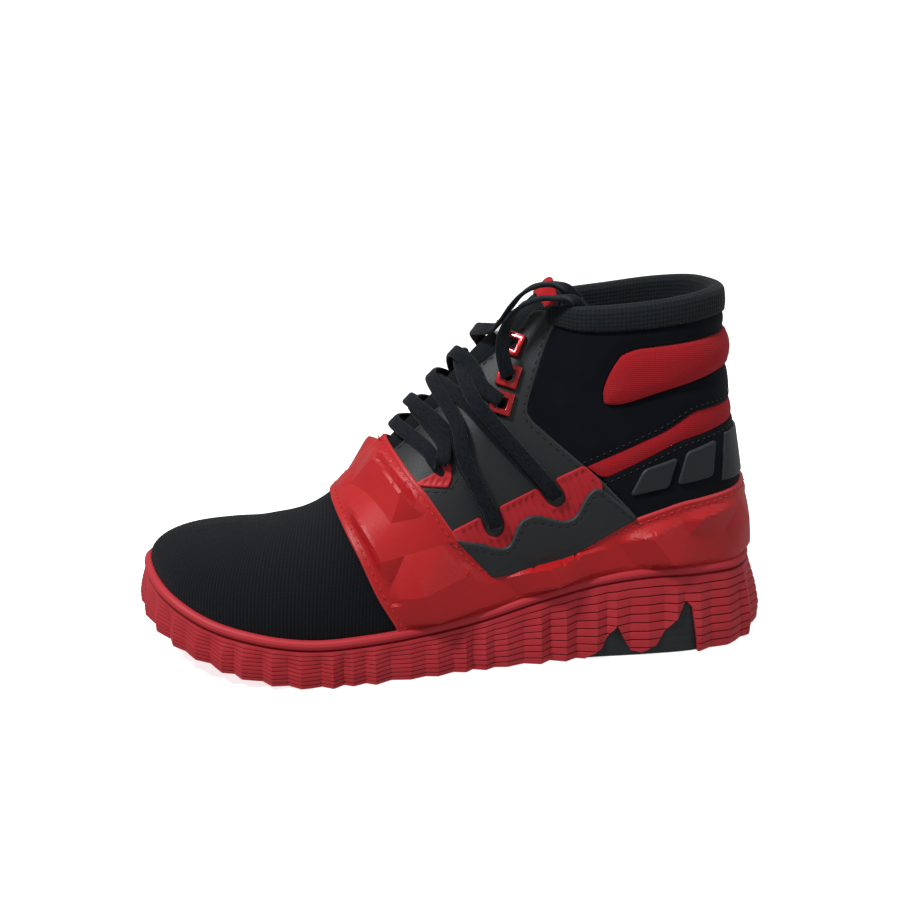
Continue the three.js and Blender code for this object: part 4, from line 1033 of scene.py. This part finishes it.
def makeSideOverlays(name, sign):
    side = 1.0 if sign < 0 else -1.0
    wave = closedOn(outlines["wave"], sign)
    makePanel(f"wave_overlay_leather_{name}", [(wave, True)], "leather",
              [f"wave_overlay_{name}"], 0.3, 2.8, spacing=1.4,
              shape=lambda flat, base, away: -0.2 * np.exp(-((away - 2.2) / 0.6) ** 2))
    waveTop = edgeOn(outlines["wave"][:15], sign, cut=1.5)
    stitchAlong(waveTop, 2.2, 2.8, "blackThread", side)
    waveRear = edgeOn([(60, 79.5), (76, 66)], sign)
    stitchAlong(waveRear, 2.2, 2.8, "blackThread", side)
    strip = closedOn(outlines["strip"], sign, cut=1.0)
    lines, centre, aside = ribLines(sign, (-12, 50), (60, 92), ribs["lean"], ribs["pitch"])
    makePanel(f"lace_strip_ribbed_{name}", [(strip, True)], "stripRubber",
              [f"lace_strip_{name}"], 0.3, 0.7, spacing=1.5, extra=lines, corner=0.5, rows=(0.3, 0.8, 1.3),
              shape=ribShape(centre, aside, ribs["pitch"], ribs["height"]))
    tab = closedOn(outlines["throatTab"], sign, cut=0.6, step=0.5)
    lines, centre, aside = ribLines(sign, (-25, 82), (-7, 97), np.radians(60), 2.2)
    makePanel(f"throat_tab_ribbed_{name}", [(tab, True)], "stripRubber", [f"throat_tab_{name}"],
              0.3, 1.0, spacing=1.0, extra=lines, corner=0.5, rows=(0.3, 0.6),
              shape=ribShape(centre, aside, 2.2, 0.5))
    edgeLine = edgeOn([(-26, 81.4), (-15, 81.2), (-9, 81.2), (-6.4, 86)], sign, cut=1.5)
    stitchAlong(edgeLine, 0.0, 0.6, "blackThread", side)
    for place, outline in (("front", [(72, 76), (90, 79), (94, 93), (78, 88)]),
                           ("rear", [(94, 80), (112, 82), (113, 99), (98, 95)])):
        ring = closedOn(outline, sign, cut=1.2)
        makePanel(f"heel_plate_{place}_coated_{name}", [(ring, True)], "plateLeather",
                  [f"heel_plate_{place}_{name}"], 0.1, 1.3, spacing=1.5)


def makeHeelTab():
    front = {sign: edgeOn(outlines["tab"], sign) for sign in (-1, 1)}
    top = line(front[-1][-1], front[1][-1], 60)
    bottom = line(front[1][0], front[-1][0], 60)
    makePanel("heel_tab_leather", [(front[-1], True), (top, True), (front[1][::-1], True), (bottom, True)],
              "plateLeather", ["heel_tab"], 0.1, 1.3)


makeVamp()
padRing = makeCollar()
makeHeelPieces(padRing)
for sideName, sideSign in (("lateral", -1), ("medial", 1)):
    makeQuarter(sideName, sideSign)
    makeSideOverlays(sideName, sideSign)
makeHeelTab()
makeSaddle()
print("upper made")


# the sole
sole = {"bead": 4.6, "beadOut": 1.0, "ridges": 9, "grooveDepth": 0.7, "pleat": 1.7, "narrow": 4.0,
        "wide": 9.0, "cup": 6.5, "tread": 7.2, "wedgeInset": 1.3, "seed": 5}


def pleatColumns():
    draw = random.Random(sole["seed"])
    total = float(np.interp(26, mapU, mapS))
    breaks, outs = [0.0], []
    while breaks[-1] < total:
        breaks.append(breaks[-1] + draw.uniform(sole["narrow"], sole["wide"]))
        outs.append(draw.uniform(0.35, 1.0) * (1 if len(outs) % 2 else -1))
    breaks = np.array(breaks) * total / breaks[-1]
    if len(outs) % 2:
        outs[-1] = 0.0
    outs.append(outs[0])
    places = []
    for a, b in zip(breaks[:-1], breaks[1:]):
        places += [a, a + (b - a) * 0.12, a + (b - a) * 0.5, a + (b - a) * 0.88]
    places = np.array(places)
    return np.interp(places, mapS, mapU), np.interp(places, breaks, outs)


def fillRing(ring, spacing=5.0):
    low, high = ring[:, :2].min(0), ring[:, :2].max(0)
    across, along = np.arange(low[0], high[0], spacing), np.arange(low[1], high[1], spacing)
    lattice = np.stack(np.meshgrid(across, along), -1).reshape(-1, 2)
    lattice = lattice[insideOf(lattice, ring[:, :2] * 0.985 + ring[:, :2].mean(0) * 0.015)]
    made = delaunay_2d_cdt([Vector(p) for p in ring[:, :2].tolist() + lattice.tolist()],
                           [(i, (i + 1) % len(ring)) for i in range(len(ring))], [], 0, 1e-5)
    spots = np.array([tuple(p) for p in made[0]])
    faces = np.array([f for f in made[2] if len(f) == 3])
    faces = faces[insideOf(spots[faces].mean(1), ring[:, :2])]
    turned = np.cross(spots[faces[:, 1]] - spots[faces[:, 0]], spots[faces[:, 2]] - spots[faces[:, 0]]) < 0
    faces[turned] = faces[turned][:, ::-1]
    order = np.argsort(ring[:, 0])
    heights = np.interp(spots[:, 0], ring[order, 0], np.convolve(np.pad(ring[order, 2], 8, mode="edge"),
                                                                 np.ones(17) / 17, mode="valid"))
    for out, sources in enumerate(made[3]):
        for source in sources:
            if source < len(ring):
                heights[out] = ring[source, 2]
    return np.column_stack([spots, heights]), faces


def soleGrid(u, pleat, ridged):
    foot, normal = lastAt(u)[:, :3], planNormal(u)
    rim = soleEdge(u, np.full(len(u), 1.0))
    bottom = soleEdge(u, np.zeros(len(u)))[:, 2]
    tall = foot[:, 2] - sole["bead"] - bottom
    inset = 0 if ridged else sole["wedgeInset"]
    rows, paintedGrooveShade = [], []

    # each row carries a painted shade value: how much that row is darkened in place of the shadow in grooves
    # and seams
    def row(points, groove):
        rows.append(points)
        paintedGrooveShade.append(np.full(len(u), groove))

    def outAt(h, out):
        return soleEdge(u, h) + normal * out[:, None]

    row(foot + normal * 0.3 + [0, 0, -sole["cup"]], 0.0)
    row(foot + normal * 0.3 + [0, 0, -0.6], 0.5)
    for angle in np.radians([150, 120, 95, 65, 35, 5, -25, -55, -75]):
        out = -1.4 + (1.4 + sole["beadOut"]) * max(np.cos(angle), -0.5)
        point = rim + normal * out
        point[:, 2] = foot[:, 2] - sole["bead"] / 2 + 0.2 + (sole["bead"] / 2) * np.sin(angle)
        row(point, 0.0)
    count = sole["ridges"]
    # the third number of each cut is painted shade, darkest at the bottom of each groove
    cuts = ((0.0, -1.0, 0.9), (0.06, -0.5, 0.3), (0.11, 0.0, 0.0), (0.5, 0.1, 0.0), (0.89, 0.0, 0.0),
            (0.94, -0.5, 0.3))
    for k in range(count):
        for part, out, dark in cuts:
            down = (k + part) / count
            height = foot[:, 2] - sole["bead"] - tall * down
            h = (height - bottom) / np.maximum(foot[:, 2] - bottom, 1)
            push = out * sole["grooveDepth"] * (1.0 if ridged else 0.1)
            wave = pleat * sole["pleat"] * smoothStep(down, -0.1, 0.5)
            point = outAt(h, push + (wave if ridged else 0 * wave) - inset)
            point[:, 2] = height
            row(point, dark)
    base = outAt(np.zeros(len(u)), (pleat * sole["pleat"] if ridged else pleat * 0) - 0.6 - inset)
    row(base, 0.1)
    inner = soleEdge(u, np.zeros(len(u)), sole["tread"] - 0.8)
    row(inner, 0.0)
    deep = soleEdge(u, np.zeros(len(u)), sole["tread"] - 0.3)
    deep[:, 2] += 3.4 if ridged else 1.0
    row(deep, 0.3)
    return np.array(rows), np.array(paintedGrooveShade)


def soleMesh(name, u, pleat, ridged, finish, nodes):
    rows, paintedGrooveShade = soleGrid(u, pleat, ridged)
    count, around = rows.shape[:2]
    faces = bandFaces(count, around)
    points, dark = rows.reshape(-1, 3), paintedGrooveShade.ravel()
    for index, flip in ((0, True), (count - 1, False)):
        spots, filled = fillRing(rows[index])
        if flip:
            filled = filled[:, ::-1]
        faces += (filled + len(points)).tolist()
        points = np.concatenate([points, spots])
        # the filled caps get a little painted shade as well
        dark = np.concatenate([dark, np.full(len(spots), 0.2)])
    piece = newPiece(name, points, faces, finish, nodes, attributes={"groove": dark}, weld=2e-6)
    if signedVolume(piece) < 0:
        piece.data.flip_normals()
    return piece


def signedVolume(piece):
    mesh = piece.data
    mesh.calc_loop_triangles()
    spots = np.zeros(len(mesh.vertices) * 3)
    mesh.vertices.foreach_get("co", spots)
    corners = np.zeros(len(mesh.loop_triangles) * 3, np.int32)
    mesh.loop_triangles.foreach_get("vertices", corners)
    a, b, c = (spots.reshape(-1, 3)[corners.reshape(-1, 3)[:, k]] for k in range(3))
    return (a * np.cross(b, c)).sum() / 6


# cuts a piece with an outline drawn in side view, taken straight through the shoe
def cutThrough(piece, outline, operation, reach=90):
    count = len(outline)
    near = [(x, -reach, z) for x, z in outline]
    far = [(x, reach, z) for x, z in outline]
    faces = [list(range(count)), list(range(count, 2 * count))[::-1]]
    faces += [[i, i + count, (i + 1) % count + count, (i + 1) % count] for i in range(count)]
    mesh = bpy.data.meshes.new("cutter")
    mesh.from_pydata(toFrame(near + far).tolist(), [], faces)
    cutter = bpy.data.objects.new("cutter", mesh)
    bpy.context.scene.collection.objects.link(cutter)
    if signedVolume(cutter) < 0:
        mesh.flip_normals()
    cut = piece.modifiers.new("cut", "BOOLEAN")
    cut.object, cut.operation, cut.solver = cutter, operation, "EXACT"
    bpy.context.view_layer.update()
    plain = bpy.data.meshes.new_from_object(piece.evaluated_get(bpy.context.evaluated_depsgraph_get()))
    piece.modifiers.clear()
    piece.data = plain
    bpy.data.objects.remove(cutter)
    print(piece.name, operation, len(plain.polygons), "faces")


insertOutline = [(52, -5), (53, 1), (60, 5), (63, 11), (67, 16), (71, 8), (74, 3), (79, 2), (86, 5), (90, 12),
                 (95, 17), (100, 25), (103, 22), (106, 3), (107, -5)]


def makeSole():
    u, pleat = pleatColumns()
    body = soleMesh("midsole_ribbed", u, pleat, True, "redRubber", ["midsole"])
    smoothU = np.interp(np.linspace(0, np.interp(26, mapU, mapS), 241)[:-1], mapS, mapU)
    wedge = soleMesh("heel_wedge", smoothU, smoothU * 0, False, "blackRubber",
                     ["heel_insert"])
    middle = np.array(insertOutline).mean(0)
    cutThrough(body, insertOutline, "DIFFERENCE")
    closeFit = 0.992
    cutThrough(wedge, [tuple(middle + (np.array(p) - middle) * closeFit) for p in insertOutline], "INTERSECT")
    for piece in (body, wedge):
        piece.data.polygons.foreach_set("use_smooth", [True] * len(piece.data.polygons))
        piece.data.set_sharp_from_angle(angle=0.3)


makeSole()
print("sole made")


# collar: spacer mesh that rolls over the rim and lines the shaft
lining = {"counter": 1.5, "foam": 3.6, "thick": 0.9}


def liningLift(points):
    pad = smoothStep(points[:, 2], 92, 112) * smoothStep(points[:, 0], 38, 52)
    return -skinThickness - 0.6 - lining["counter"] - (lining["foam"] - lining["counter"]) * pad


def liningTop(u):
    throat = throatEdge(-1, half=12.8, toU=7.7)
    order = np.argsort(np.abs(throat[:, 0]))
    top = np.interp(np.abs(u), np.abs(throat[order, 0]), throat[order, 1])
    return np.where(np.abs(u) < 5.02, 0.985, np.minimum(top, 0.985))


def makeLining():
    throatSide = np.linspace(5.05, 7.6, 44)
    u = np.concatenate([-throatSide[::-1], np.linspace(-5.0, 5.0, 230), throatSide])
    top = liningTop(u)
    up = unit(onUpper(u, top) - onUpper(u, top - 0.03))
    normal = wallNormal(u, top)
    wrap = (1 - smoothStep(np.abs(u), 4.62, 4.86))
    outLift = -1.45 + 1.95 * wrap
    inner = liningLift(onUpper(u, top))
    rows = []
    for step in np.linspace(0, 1, 7):
        v = top - (0.985 - 0.925) * (1 - step)
        rows.append(onUpper(u, v, outLift + 0.35 * wrap * np.sin(step * np.pi)))
    radius = (outLift - inner) / 2
    centre = onUpper(u, top, (outLift + inner) / 2)
    for angle in np.radians(np.linspace(20, 160, 8)):
        rise = radius * (0.5 + 0.45 * wrap)
        outwards, upwards = (radius * np.cos(angle))[:, None], (rise * np.sin(angle))[:, None]
        rows.append(centre + normal * outwards + up * upwards)
    for down in np.linspace(0, 1, 60) ** 1.1:
        v = top * (1 - down) + 0.01 * down
        lift = liningLift(onUpper(u, v))
        rows.append(onUpper(u, v, np.minimum(lift, inner) if down < 0.02 else lift))
    rows = np.array(rows)
    count, wide = rows.shape[:2]
    run = np.concatenate([[0], np.cumsum(np.linalg.norm(np.diff(rows[:, wide // 2], axis=0), axis=1))])
    uv = np.stack(np.broadcast_arrays(np.interp(u, mapU, mapS)[None], run[:, None]), -1).reshape(-1, 2)
    faces = [[i * wide + k, i * wide + k + 1, (i + 1) * wide + k + 1, (i + 1) * wide + k]
             for i in range(count - 1) for k in range(wide - 1)]
    piece = newPiece("collar_lining", rows.reshape(-1, 3), faces, "spacerMesh", ["lining"],
                     uv=uv)
    solid = piece.modifiers.new("cloth_thickness", "SOLIDIFY")
    solid.thickness = 0.0007
    solid.offset = -1


def gridSolid(name, front, back, finish, nodes, body, uv):
    rows, wide = front.shape[:2]
    count = rows * wide
    faces = []
    for i in range(rows - 1):
        for k in range(wide - 1):
            a, b, c, d = i * wide + k, i * wide + k + 1, (i + 1) * wide + k + 1, (i + 1) * wide + k
            faces += [[a, b, c, d], [a + count, d + count, c + count, b + count]]
    edge = list(range(wide)) + [i * wide + wide - 1 for i in range(1, rows)]
    edge += [(rows - 1) * wide + k for k in range(wide - 2, -1, -1)]
    edge += [i * wide for i in range(rows - 2, 0, -1)]
    for k, a in enumerate(edge):
        b = edge[(k + 1) % len(edge)]
        faces.append([b, a, a + count, b + count])
    points = np.concatenate([front.reshape(-1, 3), back.reshape(-1, 3)])
    piece = newPiece(name, points, faces, finish, nodes, uv=np.concatenate([uv, uv]), body=body)
    if signedVolume(piece) < 0:
        piece.data.flip_normals()
    return piece


def makeCollarFoam():
    u = np.linspace(-4.4, 4.4, 160)
    v = np.linspace(0.62, 0.965, 26)
    gridU, gridV = [a.T for a in np.meshgrid(u, v, indexing="ij")]
    spot = onUpper(gridU.ravel(), gridV.ravel())
    inner = liningLift(spot) + 0.35
    bulge = np.sin(np.clip((gridV.ravel() - 0.62) / 0.345, 0, 1) * np.pi) ** 0.5
    ends = smoothStep(4.4 - np.abs(gridU.ravel()), 0, 0.4)
    thick = np.maximum((-skinThickness - 0.3 - inner) * bulge * ends, 0.05)
    front = onUpper(gridU.ravel(), gridV.ravel(), -skinThickness - 0.3).reshape(*gridU.shape, 3)
    back = onUpper(gridU.ravel(), gridV.ravel(), -skinThickness - 0.3 - thick).reshape(*gridU.shape, 3)
    uv = np.column_stack([np.interp(gridU.ravel(), mapU, mapS), gridV.ravel() * 100])
    piece = gridSolid("collar_padding", front, back, "foam", ["collar_foam"], "shoe", uv)


makeLining()
makeCollarFoam()
print("collar made")


# tongue
tongue = {"length": 110, "width": 40, "fabric": 1.0, "foam": 3.0, "root": 0.015, "capStart": 0.89,
          "cap": 0.975}


def makeDepthTable():
    samples = []
    for sign in (-1, 1):
        gridU, gridV = [a.ravel() for a in np.meshgrid(np.arange(3.6, 9.0, 0.03), np.linspace(0.4, 1, 60))]
        p = onUpper(-sign * gridU, gridV)
        away = p - tongueRoot
        samples.append(np.column_stack([away @ tongueDirection, p[:, 1] * sign, -(away @ tongueNormal)]))
    ups, sideways = np.arange(0, 98, 1.5), np.arange(0, 21.5, 1.0)
    table = np.zeros((len(ups), len(sideways)))
    for data in samples:
        tree = KDTree(len(data))
        for k, (up, y, _) in enumerate(data.tolist()):
            tree.insert((up, y, 0), k)
        tree.balance()
        for i, up in enumerate(ups):
            for j, y in enumerate(sideways):
                found = tree.find_n((up, y, 0), 5)
                weights = np.array([1 / (f[2] + 0.05) ** 2 for f in found])
                depth = (weights * data[[f[1] for f in found], 2]).sum() / weights.sum()
                table[i, j] = max(table[i, j], depth)
    for _ in range(2):
        padded = np.pad(table, 1, mode="edge")
        table = (padded[:-2, 1:-1] + padded[2:, 1:-1] + padded[1:-1, :-2] + padded[1:-1, 2:] + 2 * table) / 6
    return ups, sideways, table


depthUps, depthSides, depthTable = makeDepthTable()


def tonguePoint(s, y, depth):
    up = s * tongue["length"]
    i = np.clip(up / 1.5, 0, len(depthUps) - 1.001)
    j = np.clip(np.abs(y), 0, len(depthSides) - 1.001)
    i0, j0 = i.astype(int), j.astype(int)
    fi, fj = i - i0, j - j0
    found = (depthTable[i0, j0] * (1 - fi) * (1 - fj) + depthTable[i0 + 1, j0] * fi * (1 - fj)
             + depthTable[i0, j0 + 1] * (1 - fi) * fj + depthTable[i0 + 1, j0 + 1] * fi * fj)
    back = found + 1 + 3 * smoothStep(np.abs(y), 5.5, 10.8) + depth
    point = tongueRoot + tongueDirection * up[..., None] - tongueNormal * back[..., None]
    point[..., 1] = y
    return point


def tonguePlate(name, start, end, top, bottom, finish, node, narrow=0.0, pillow=0.0, crown=0.0):
    s = np.linspace(start, end, int((end - start) * 130) + 8)[:, None]
    w = np.sin(np.linspace(-1, 1, 45) * np.pi / 2)[None]
    half = tongue["width"] / 2 * np.minimum(0.72 + 0.5 * s, 1) * (1 - 0.45 * smoothStep(s, 0.84, 1)) - narrow
    y = w * half
    at = s + 0.05 * (1 - w * w) * smoothStep(s, 0.6, 1)
    fromSide = (1 - np.abs(w)) * half
    fromEnd = np.minimum(s - start, end - s) * tongue["length"] + 0 * w
    edge = np.minimum(fromSide, fromEnd)
    full = np.sqrt(1 - (1 - np.clip(edge / 1.6, 0, 1)) ** 2)
    middle = (top + bottom) / 2
    front = middle + (top - middle) * (0.35 + 0.65 * full) - crown * full
    puff = pillow * np.sin(np.clip(fromSide / 9, 0, 1) * np.pi / 2)
    back = middle + (bottom - middle) * (0.35 + 0.65 * full) + puff
    uv = np.stack([y, s * tongue["length"] + 0 * w], -1).reshape(-1, 2)
    front, back = tonguePoint(at, y, front), tonguePoint(at, y, back)
    return gridSolid(name, front, back, finish, [node], "tongue", uv)


def makeTongue():
    foam = tongue["fabric"] + 0.6
    behind = foam + tongue["foam"] + 0.6
    tonguePlate("tongue_mesh_front", tongue["root"], tongue["capStart"] - 0.004, 0, tongue["fabric"],
                "tongueMesh", "tongue_shell")
    tonguePlate("tongue_red_cap", tongue["capStart"], tongue["cap"], -0.5, tongue["fabric"] + 0.2, "capMesh",
                "tongue_cap", crown=0.3)
    pad = tonguePlate("tongue_padding", tongue["root"], 0.95, foam, foam + tongue["foam"], "foam",
                      "tongue_foam", narrow=0.6)
    tonguePlate("tongue_lining_mesh", tongue["root"], 0.955, behind, behind + lining["thick"], "spacerMesh",
                "tongue_lining", pillow=0.8)
    s, y = np.meshgrid(np.linspace(0.70, 0.79, 10), np.linspace(-6, 6, 13), indexing="ij")
    uv = np.stack([y, s * tongue["length"]], -1).reshape(-1, 2)
    front, back = [tonguePoint(s, y, np.full(s.shape, depth)) for depth in (-1.2, -0.6)]
    gridSolid("tongue_label_blank", front, back, "label", ["tongue_label"], "tongue", uv)


makeTongue()
print("tongue made")


# footbed, with its raised rim
def makeFootbed():
    u = np.linspace(0, 26, 261)[:-1]
    inset = -skinThickness - 0.3 - lining["counter"] - 0.6 - lining["thick"]
    foot, normal = lastAt(u)[:, :3], planNormal(u)
    base = foot + normal * inset + [0, 0, -6.2 + 1.6 + 0.3]
    rings = [base, base + [0, 0, 3.6], base - normal * 0.4 + [0, 0, 4.4], base - normal * 1.4 + [0, 0, 4.5],
             base - normal * 5.0 + [0, 0, 3.6], base - normal * 9.0 + [0, 0, 3.2]]
    rows = np.array(rings)
    count, around = rows.shape[:2]
    faces = [face[::-1] for face in bandFaces(count, around)]
    points = rows.reshape(-1, 3)
    for index in (0, count - 1):
        spots, filled = fillRing(rows[index])
        faces += ((filled[:, ::-1] if index else filled) + len(points)).tolist()
        points = np.concatenate([points, spots])
    piece = newPiece("footbed", points, faces, "tongueMesh", ["sockliner"], uv=points[:, :2],
                     weld=2e-6)
    if signedVolume(piece) < 0:
        piece.data.flip_normals()


makeFootbed()
for node, finish in (("heel_counter", "board"), ("toe_puff", "board"), ("strobel_board", "board"),
                     ("vamp_lining", "spacerMesh"), ("tread_forefoot", "redRubber"),
                     ("tread_heel", "redRubber")):
    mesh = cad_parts[node].data
    mesh.materials.clear()
    mesh.materials.append(finishes[finish])


# geometry nodes: stitches along a seam, and the lace eyelets
def newTree(name, sockets):
    tree = bpy.data.node_groups.new(name, "GeometryNodeTree")
    tree.is_modifier = True
    tree.interface.new_socket("Geometry", in_out="INPUT", socket_type="NodeSocketGeometry")
    for socket, kind, value in sockets:
        made = tree.interface.new_socket(socket, in_out="INPUT", socket_type=kind)
        if value is not None:
            made.default_value = value
    tree.interface.new_socket("Geometry", in_out="OUTPUT", socket_type="NodeSocketGeometry")
    return tree, tree.nodes.new("NodeGroupInput").outputs, tree.nodes.new("NodeGroupOutput").inputs


def placed(tree, points, instance, tangent, upward, material, output):
    first = addNode(tree, "FunctionNodeAlignRotationToVector", {"axis": "X"}, {"Vector": tangent})
    second = addNode(tree, "FunctionNodeAlignRotationToVector", {"axis": "Z", "pivot_axis": "X"},
                     {"Rotation": first.outputs[0], "Vector": upward})
    copies = addNode(tree, "GeometryNodeInstanceOnPoints", None,
                     {"Points": points, "Instance": instance, "Rotation": second.outputs[0]})
    real = addNode(tree, "GeometryNodeRealizeInstances", None, {"Geometry": copies.outputs[0]})
    painted = addNode(tree, "GeometryNodeSetMaterial", None,
                      {"Geometry": real.outputs[0], "Material": material})
    tree.links.new(painted.outputs[0], output["Geometry"])


def makeStitchTree():
    tree, given, output = newTree("seam_stitches", [
        ("Pitch", "NodeSocketFloat", 0.0037), ("Length", "NodeSocketFloat", 0.0024),
        ("Width", "NodeSocketFloat", 0.0008), ("Thread", "NodeSocketMaterial", None)])
    seam = addNode(tree, "GeometryNodeMeshToCurve", None, {"Mesh": given["Geometry"]})
    even = addNode(tree, "GeometryNodeResampleCurve", {"mode": "LENGTH"}, {"Curve": seam.outputs[0]})
    tree.links.new(given["Pitch"], even.inputs["Length"])
    ball = addNode(tree, "GeometryNodeMeshUVSphere", {"Segments": 6, "Rings": 5, "Radius": 0.5})
    size = addNode(tree, "ShaderNodeCombineXYZ", None,
                   {"X": given["Length"], "Y": given["Width"], "Z": given["Width"]})
    stitch = addNode(tree, "GeometryNodeTransform", None,
                     {"Geometry": ball.outputs[0], "Scale": size.outputs[0]})
    along = addNode(tree, "GeometryNodeInputTangent")
    upward = addNode(tree, "GeometryNodeInputNamedAttribute", {"data_type": "FLOAT_VECTOR", "Name": "upward"})
    placed(tree, even.outputs[0], stitch.outputs[0], along.outputs[0], upward.outputs[0], given["Thread"],
           output)
    return tree


def makeEyeletTree(ring):
    tree, given, output = newTree("lace_eyelets", [("Eyelet", "NodeSocketObject", ring),
                                                   ("Metal", "NodeSocketMaterial", None)])
    shape = addNode(tree, "GeometryNodeObjectInfo", None, {"Object": given["Eyelet"]})
    across = addNode(tree, "GeometryNodeInputNamedAttribute", {"data_type": "FLOAT_VECTOR", "Name": "across"})
    upward = addNode(tree, "GeometryNodeInputNamedAttribute", {"data_type": "FLOAT_VECTOR", "Name": "upward"})
    points = addNode(tree, "GeometryNodeMeshToPoints", None, {"Mesh": given["Geometry"]})
    placed(tree, points.outputs[0], shape.outputs["Geometry"], across.outputs[0], upward.outputs[0],
           given["Metal"], output)
    return tree


def setInput(modifier, name, value):
    sockets = modifier.node_group.interface.items_tree
    identifier = next(s.identifier for s in sockets if s.item_type == "SOCKET" and s.name == name)
    modifier[identifier] = value


def grownBy(name, points, edges, vectors, tree, inputs, nodes=(), body="shoe"):
    mesh = bpy.data.meshes.new(name)
    mesh.from_pydata(toFrame(points).tolist(), edges, [])
    for key, values in vectors.items():
        made = mesh.attributes.new(key, "FLOAT_VECTOR", "POINT")
        made.data.foreach_set("vector", np.asarray(values, np.float32).ravel())
    piece = bpy.data.objects.new(name, mesh)
    bpy.context.scene.collection.objects.link(piece)
    modifier = piece.modifiers.new("grow", "NODES")
    modifier.node_group = tree
    for key, value in inputs.items():
        setInput(modifier, key, value)
    plain = bpy.data.meshes.new_from_object(piece.evaluated_get(bpy.context.evaluated_depsgraph_get()))
    piece.modifiers.clear()
    piece.data = plain
    plain.polygons.foreach_set("use_smooth", [True] * len(plain.polygons))
    return placePiece(piece, nodes, body)


def makeStitches():
    tree = makeStitchTree()
    groups = {}
    for run in stitchRuns:
        groups.setdefault((run["thread"], run["length"], run["gap"]), []).append(run)
    for index, ((thread, length, gap), runs) in enumerate(groups.items()):
        points = np.concatenate([run["points"] for run in runs])
        normals = np.concatenate([run["normals"] for run in runs])
        edges, start = [], 0
        for run in runs:
            edges += [(start + k, start + k + 1) for k in range(len(run["points"]) - 1)]
            start += len(run["points"])
        grownBy(f"stitches_{thread}_{index}", points, edges, {"upward": normals}, tree,
                {"Pitch": (length + gap) / 1000, "Length": length / 1000,
                 "Width": 0.0007 if length > 2 else 0.0005, "Thread": finishes[thread]})


eyelet = {"width": 10.0, "height": 10.5, "hole": 5.0, "thick": 2.3, "bevel": 0.6}


def makeEyelets():
    ring = bpy.data.meshes.new("eyelet_ring")
    half, tall, hole, thick = (eyelet["width"] / 2000, eyelet["height"] / 2000, eyelet["hole"] / 2000,
                               eyelet["thick"] / 1000)
    corners = [(-1, -1), (1, -1), (1, 1), (-1, 1)]
    spots = [(x * a, y * b, z) for z in (0.0, thick) for a, b in ((half, tall), (hole, hole))
             for x, y in corners]
    faces = []
    for k in range(4):
        n = (k + 1) % 4
        faces += [(k, n, n + 8, k + 8), (4 + n, 4 + k, 12 + k, 12 + n), (8 + k, 8 + n, 12 + n, 12 + k),
                  (k, 4 + k, 4 + n, n)]
    ring.from_pydata(spots, [], faces)
    holder = bpy.data.objects.new("eyelet_ring", ring)
    bpy.context.scene.collection.objects.link(holder)
    bevel = holder.modifiers.new("round_edges", "BEVEL")
    bevel.width, bevel.segments = eyelet["bevel"] / 1000, 3
    plain = bpy.data.meshes.new_from_object(holder.evaluated_get(bpy.context.evaluated_depsgraph_get()))
    holder.modifiers.clear()
    holder.data = plain
    points, across, upward = [], [], []
    for sign in (-1, 1):
        for x, z in eyeletPlaces:
            point, normal = sideStop(sign, x, z, 0.55)
            upright = np.array([0.25, 0, 0.97])
            upright = unit((upright - normal * (upright @ normal))[None])[0]
            points.append(point)
            across.append(np.cross(upright, normal))
            upward.append(normal)
    nodes = [f"eyelet_{side}_{k}" for side in ("lateral", "medial") for k in (1, 2, 3)]
    grownBy("lace_eyelets", np.array(points), [], {"across": across, "upward": upward},
            makeEyeletTree(holder), {"Eyelet": holder, "Metal": finishes["eyeletMetal"]}, nodes)
    bpy.data.objects.remove(holder)


makeEyelets()
makeStitches()
print("eyelets and stitches made")


# floor and light: a round paper sweep and soft boxes
studio = {"floor": 2.4, "sides": 64, "curve": 0.8, "wall": 2.2, "tone": "#f6f6f6", "glow": 0.75, "sky": 0.38}


def makeStudio():
    profile = [(0.0, 0.0), (studio["floor"] - studio["curve"], 0.0)]
    for k in range(1, 9):
        turn = np.pi / 2 * k / 8
        profile.append((studio["floor"] - studio["curve"] * (1 - np.sin(turn)),
                        studio["curve"] * (1 - np.cos(turn))))
    profile.append((studio["floor"], studio["wall"]))
    sides = studio["sides"]
    turns = np.linspace(0, 2 * np.pi, sides + 1)[:-1]
    points = [(0, 0, 0)] + [(r * np.cos(a), r * np.sin(a), z) for r, z in profile[1:] for a in turns]
    faces = [(0, 1 + k, 1 + (k + 1) % sides) for k in range(sides)]
    faces += [[1 + spot for spot in face] for face in bandFaces(len(profile) - 1, sides)]
    mesh = bpy.data.meshes.new("paper_sweep")
    mesh.from_pydata(points, [], faces)
    mesh.polygons.foreach_set("use_smooth", [True] * len(mesh.polygons))
    floor = bpy.data.objects.new("paper_sweep", mesh)
    bpy.context.scene.collection.objects.link(floor)
    floor.location.z = -0.0003
    material, _, shader = newMaterial("pale_paper_sweep", studio["tone"], 0.9, Emission_Strength=studio["glow"])
    shader.inputs["Emission Color"].default_value = (1, 1, 1, 1)
    mesh.materials.append(material)
    floor.visible_diffuse = floor.visible_glossy = False
    world = bpy.data.worlds.new("studio")
    world.use_nodes = True
    world.node_tree.nodes["Background"].inputs["Color"].default_value = (1, 1, 1, 1)
    world.node_tree.nodes["Background"].inputs["Strength"].default_value = studio["sky"]
    bpy.context.scene.world = world
    lamps = [("key_softbox", (-0.7, -0.45, 1.15), 15, 0.25), ("top_softbox", (0.15, 0.25, 1.4), 4, 0.8),
             ("rim_softbox", (0.9, -0.6, 0.6), 1.5, 0.5)]
    for name, place, power, size in lamps:
        data = bpy.data.lights.new(name, "AREA")
        data.energy = power
        data.size = size
        lamp = bpy.data.objects.new(name, data)
        bpy.context.scene.collection.objects.link(lamp)
        lamp.location = place
        lamp.rotation_euler = (Vector((0, 0, 0.06)) - Vector(place)).to_track_quat("-Z", "Y").to_euler()
    bpy.context.scene.view_settings.view_transform = "Standard"


makeStudio()
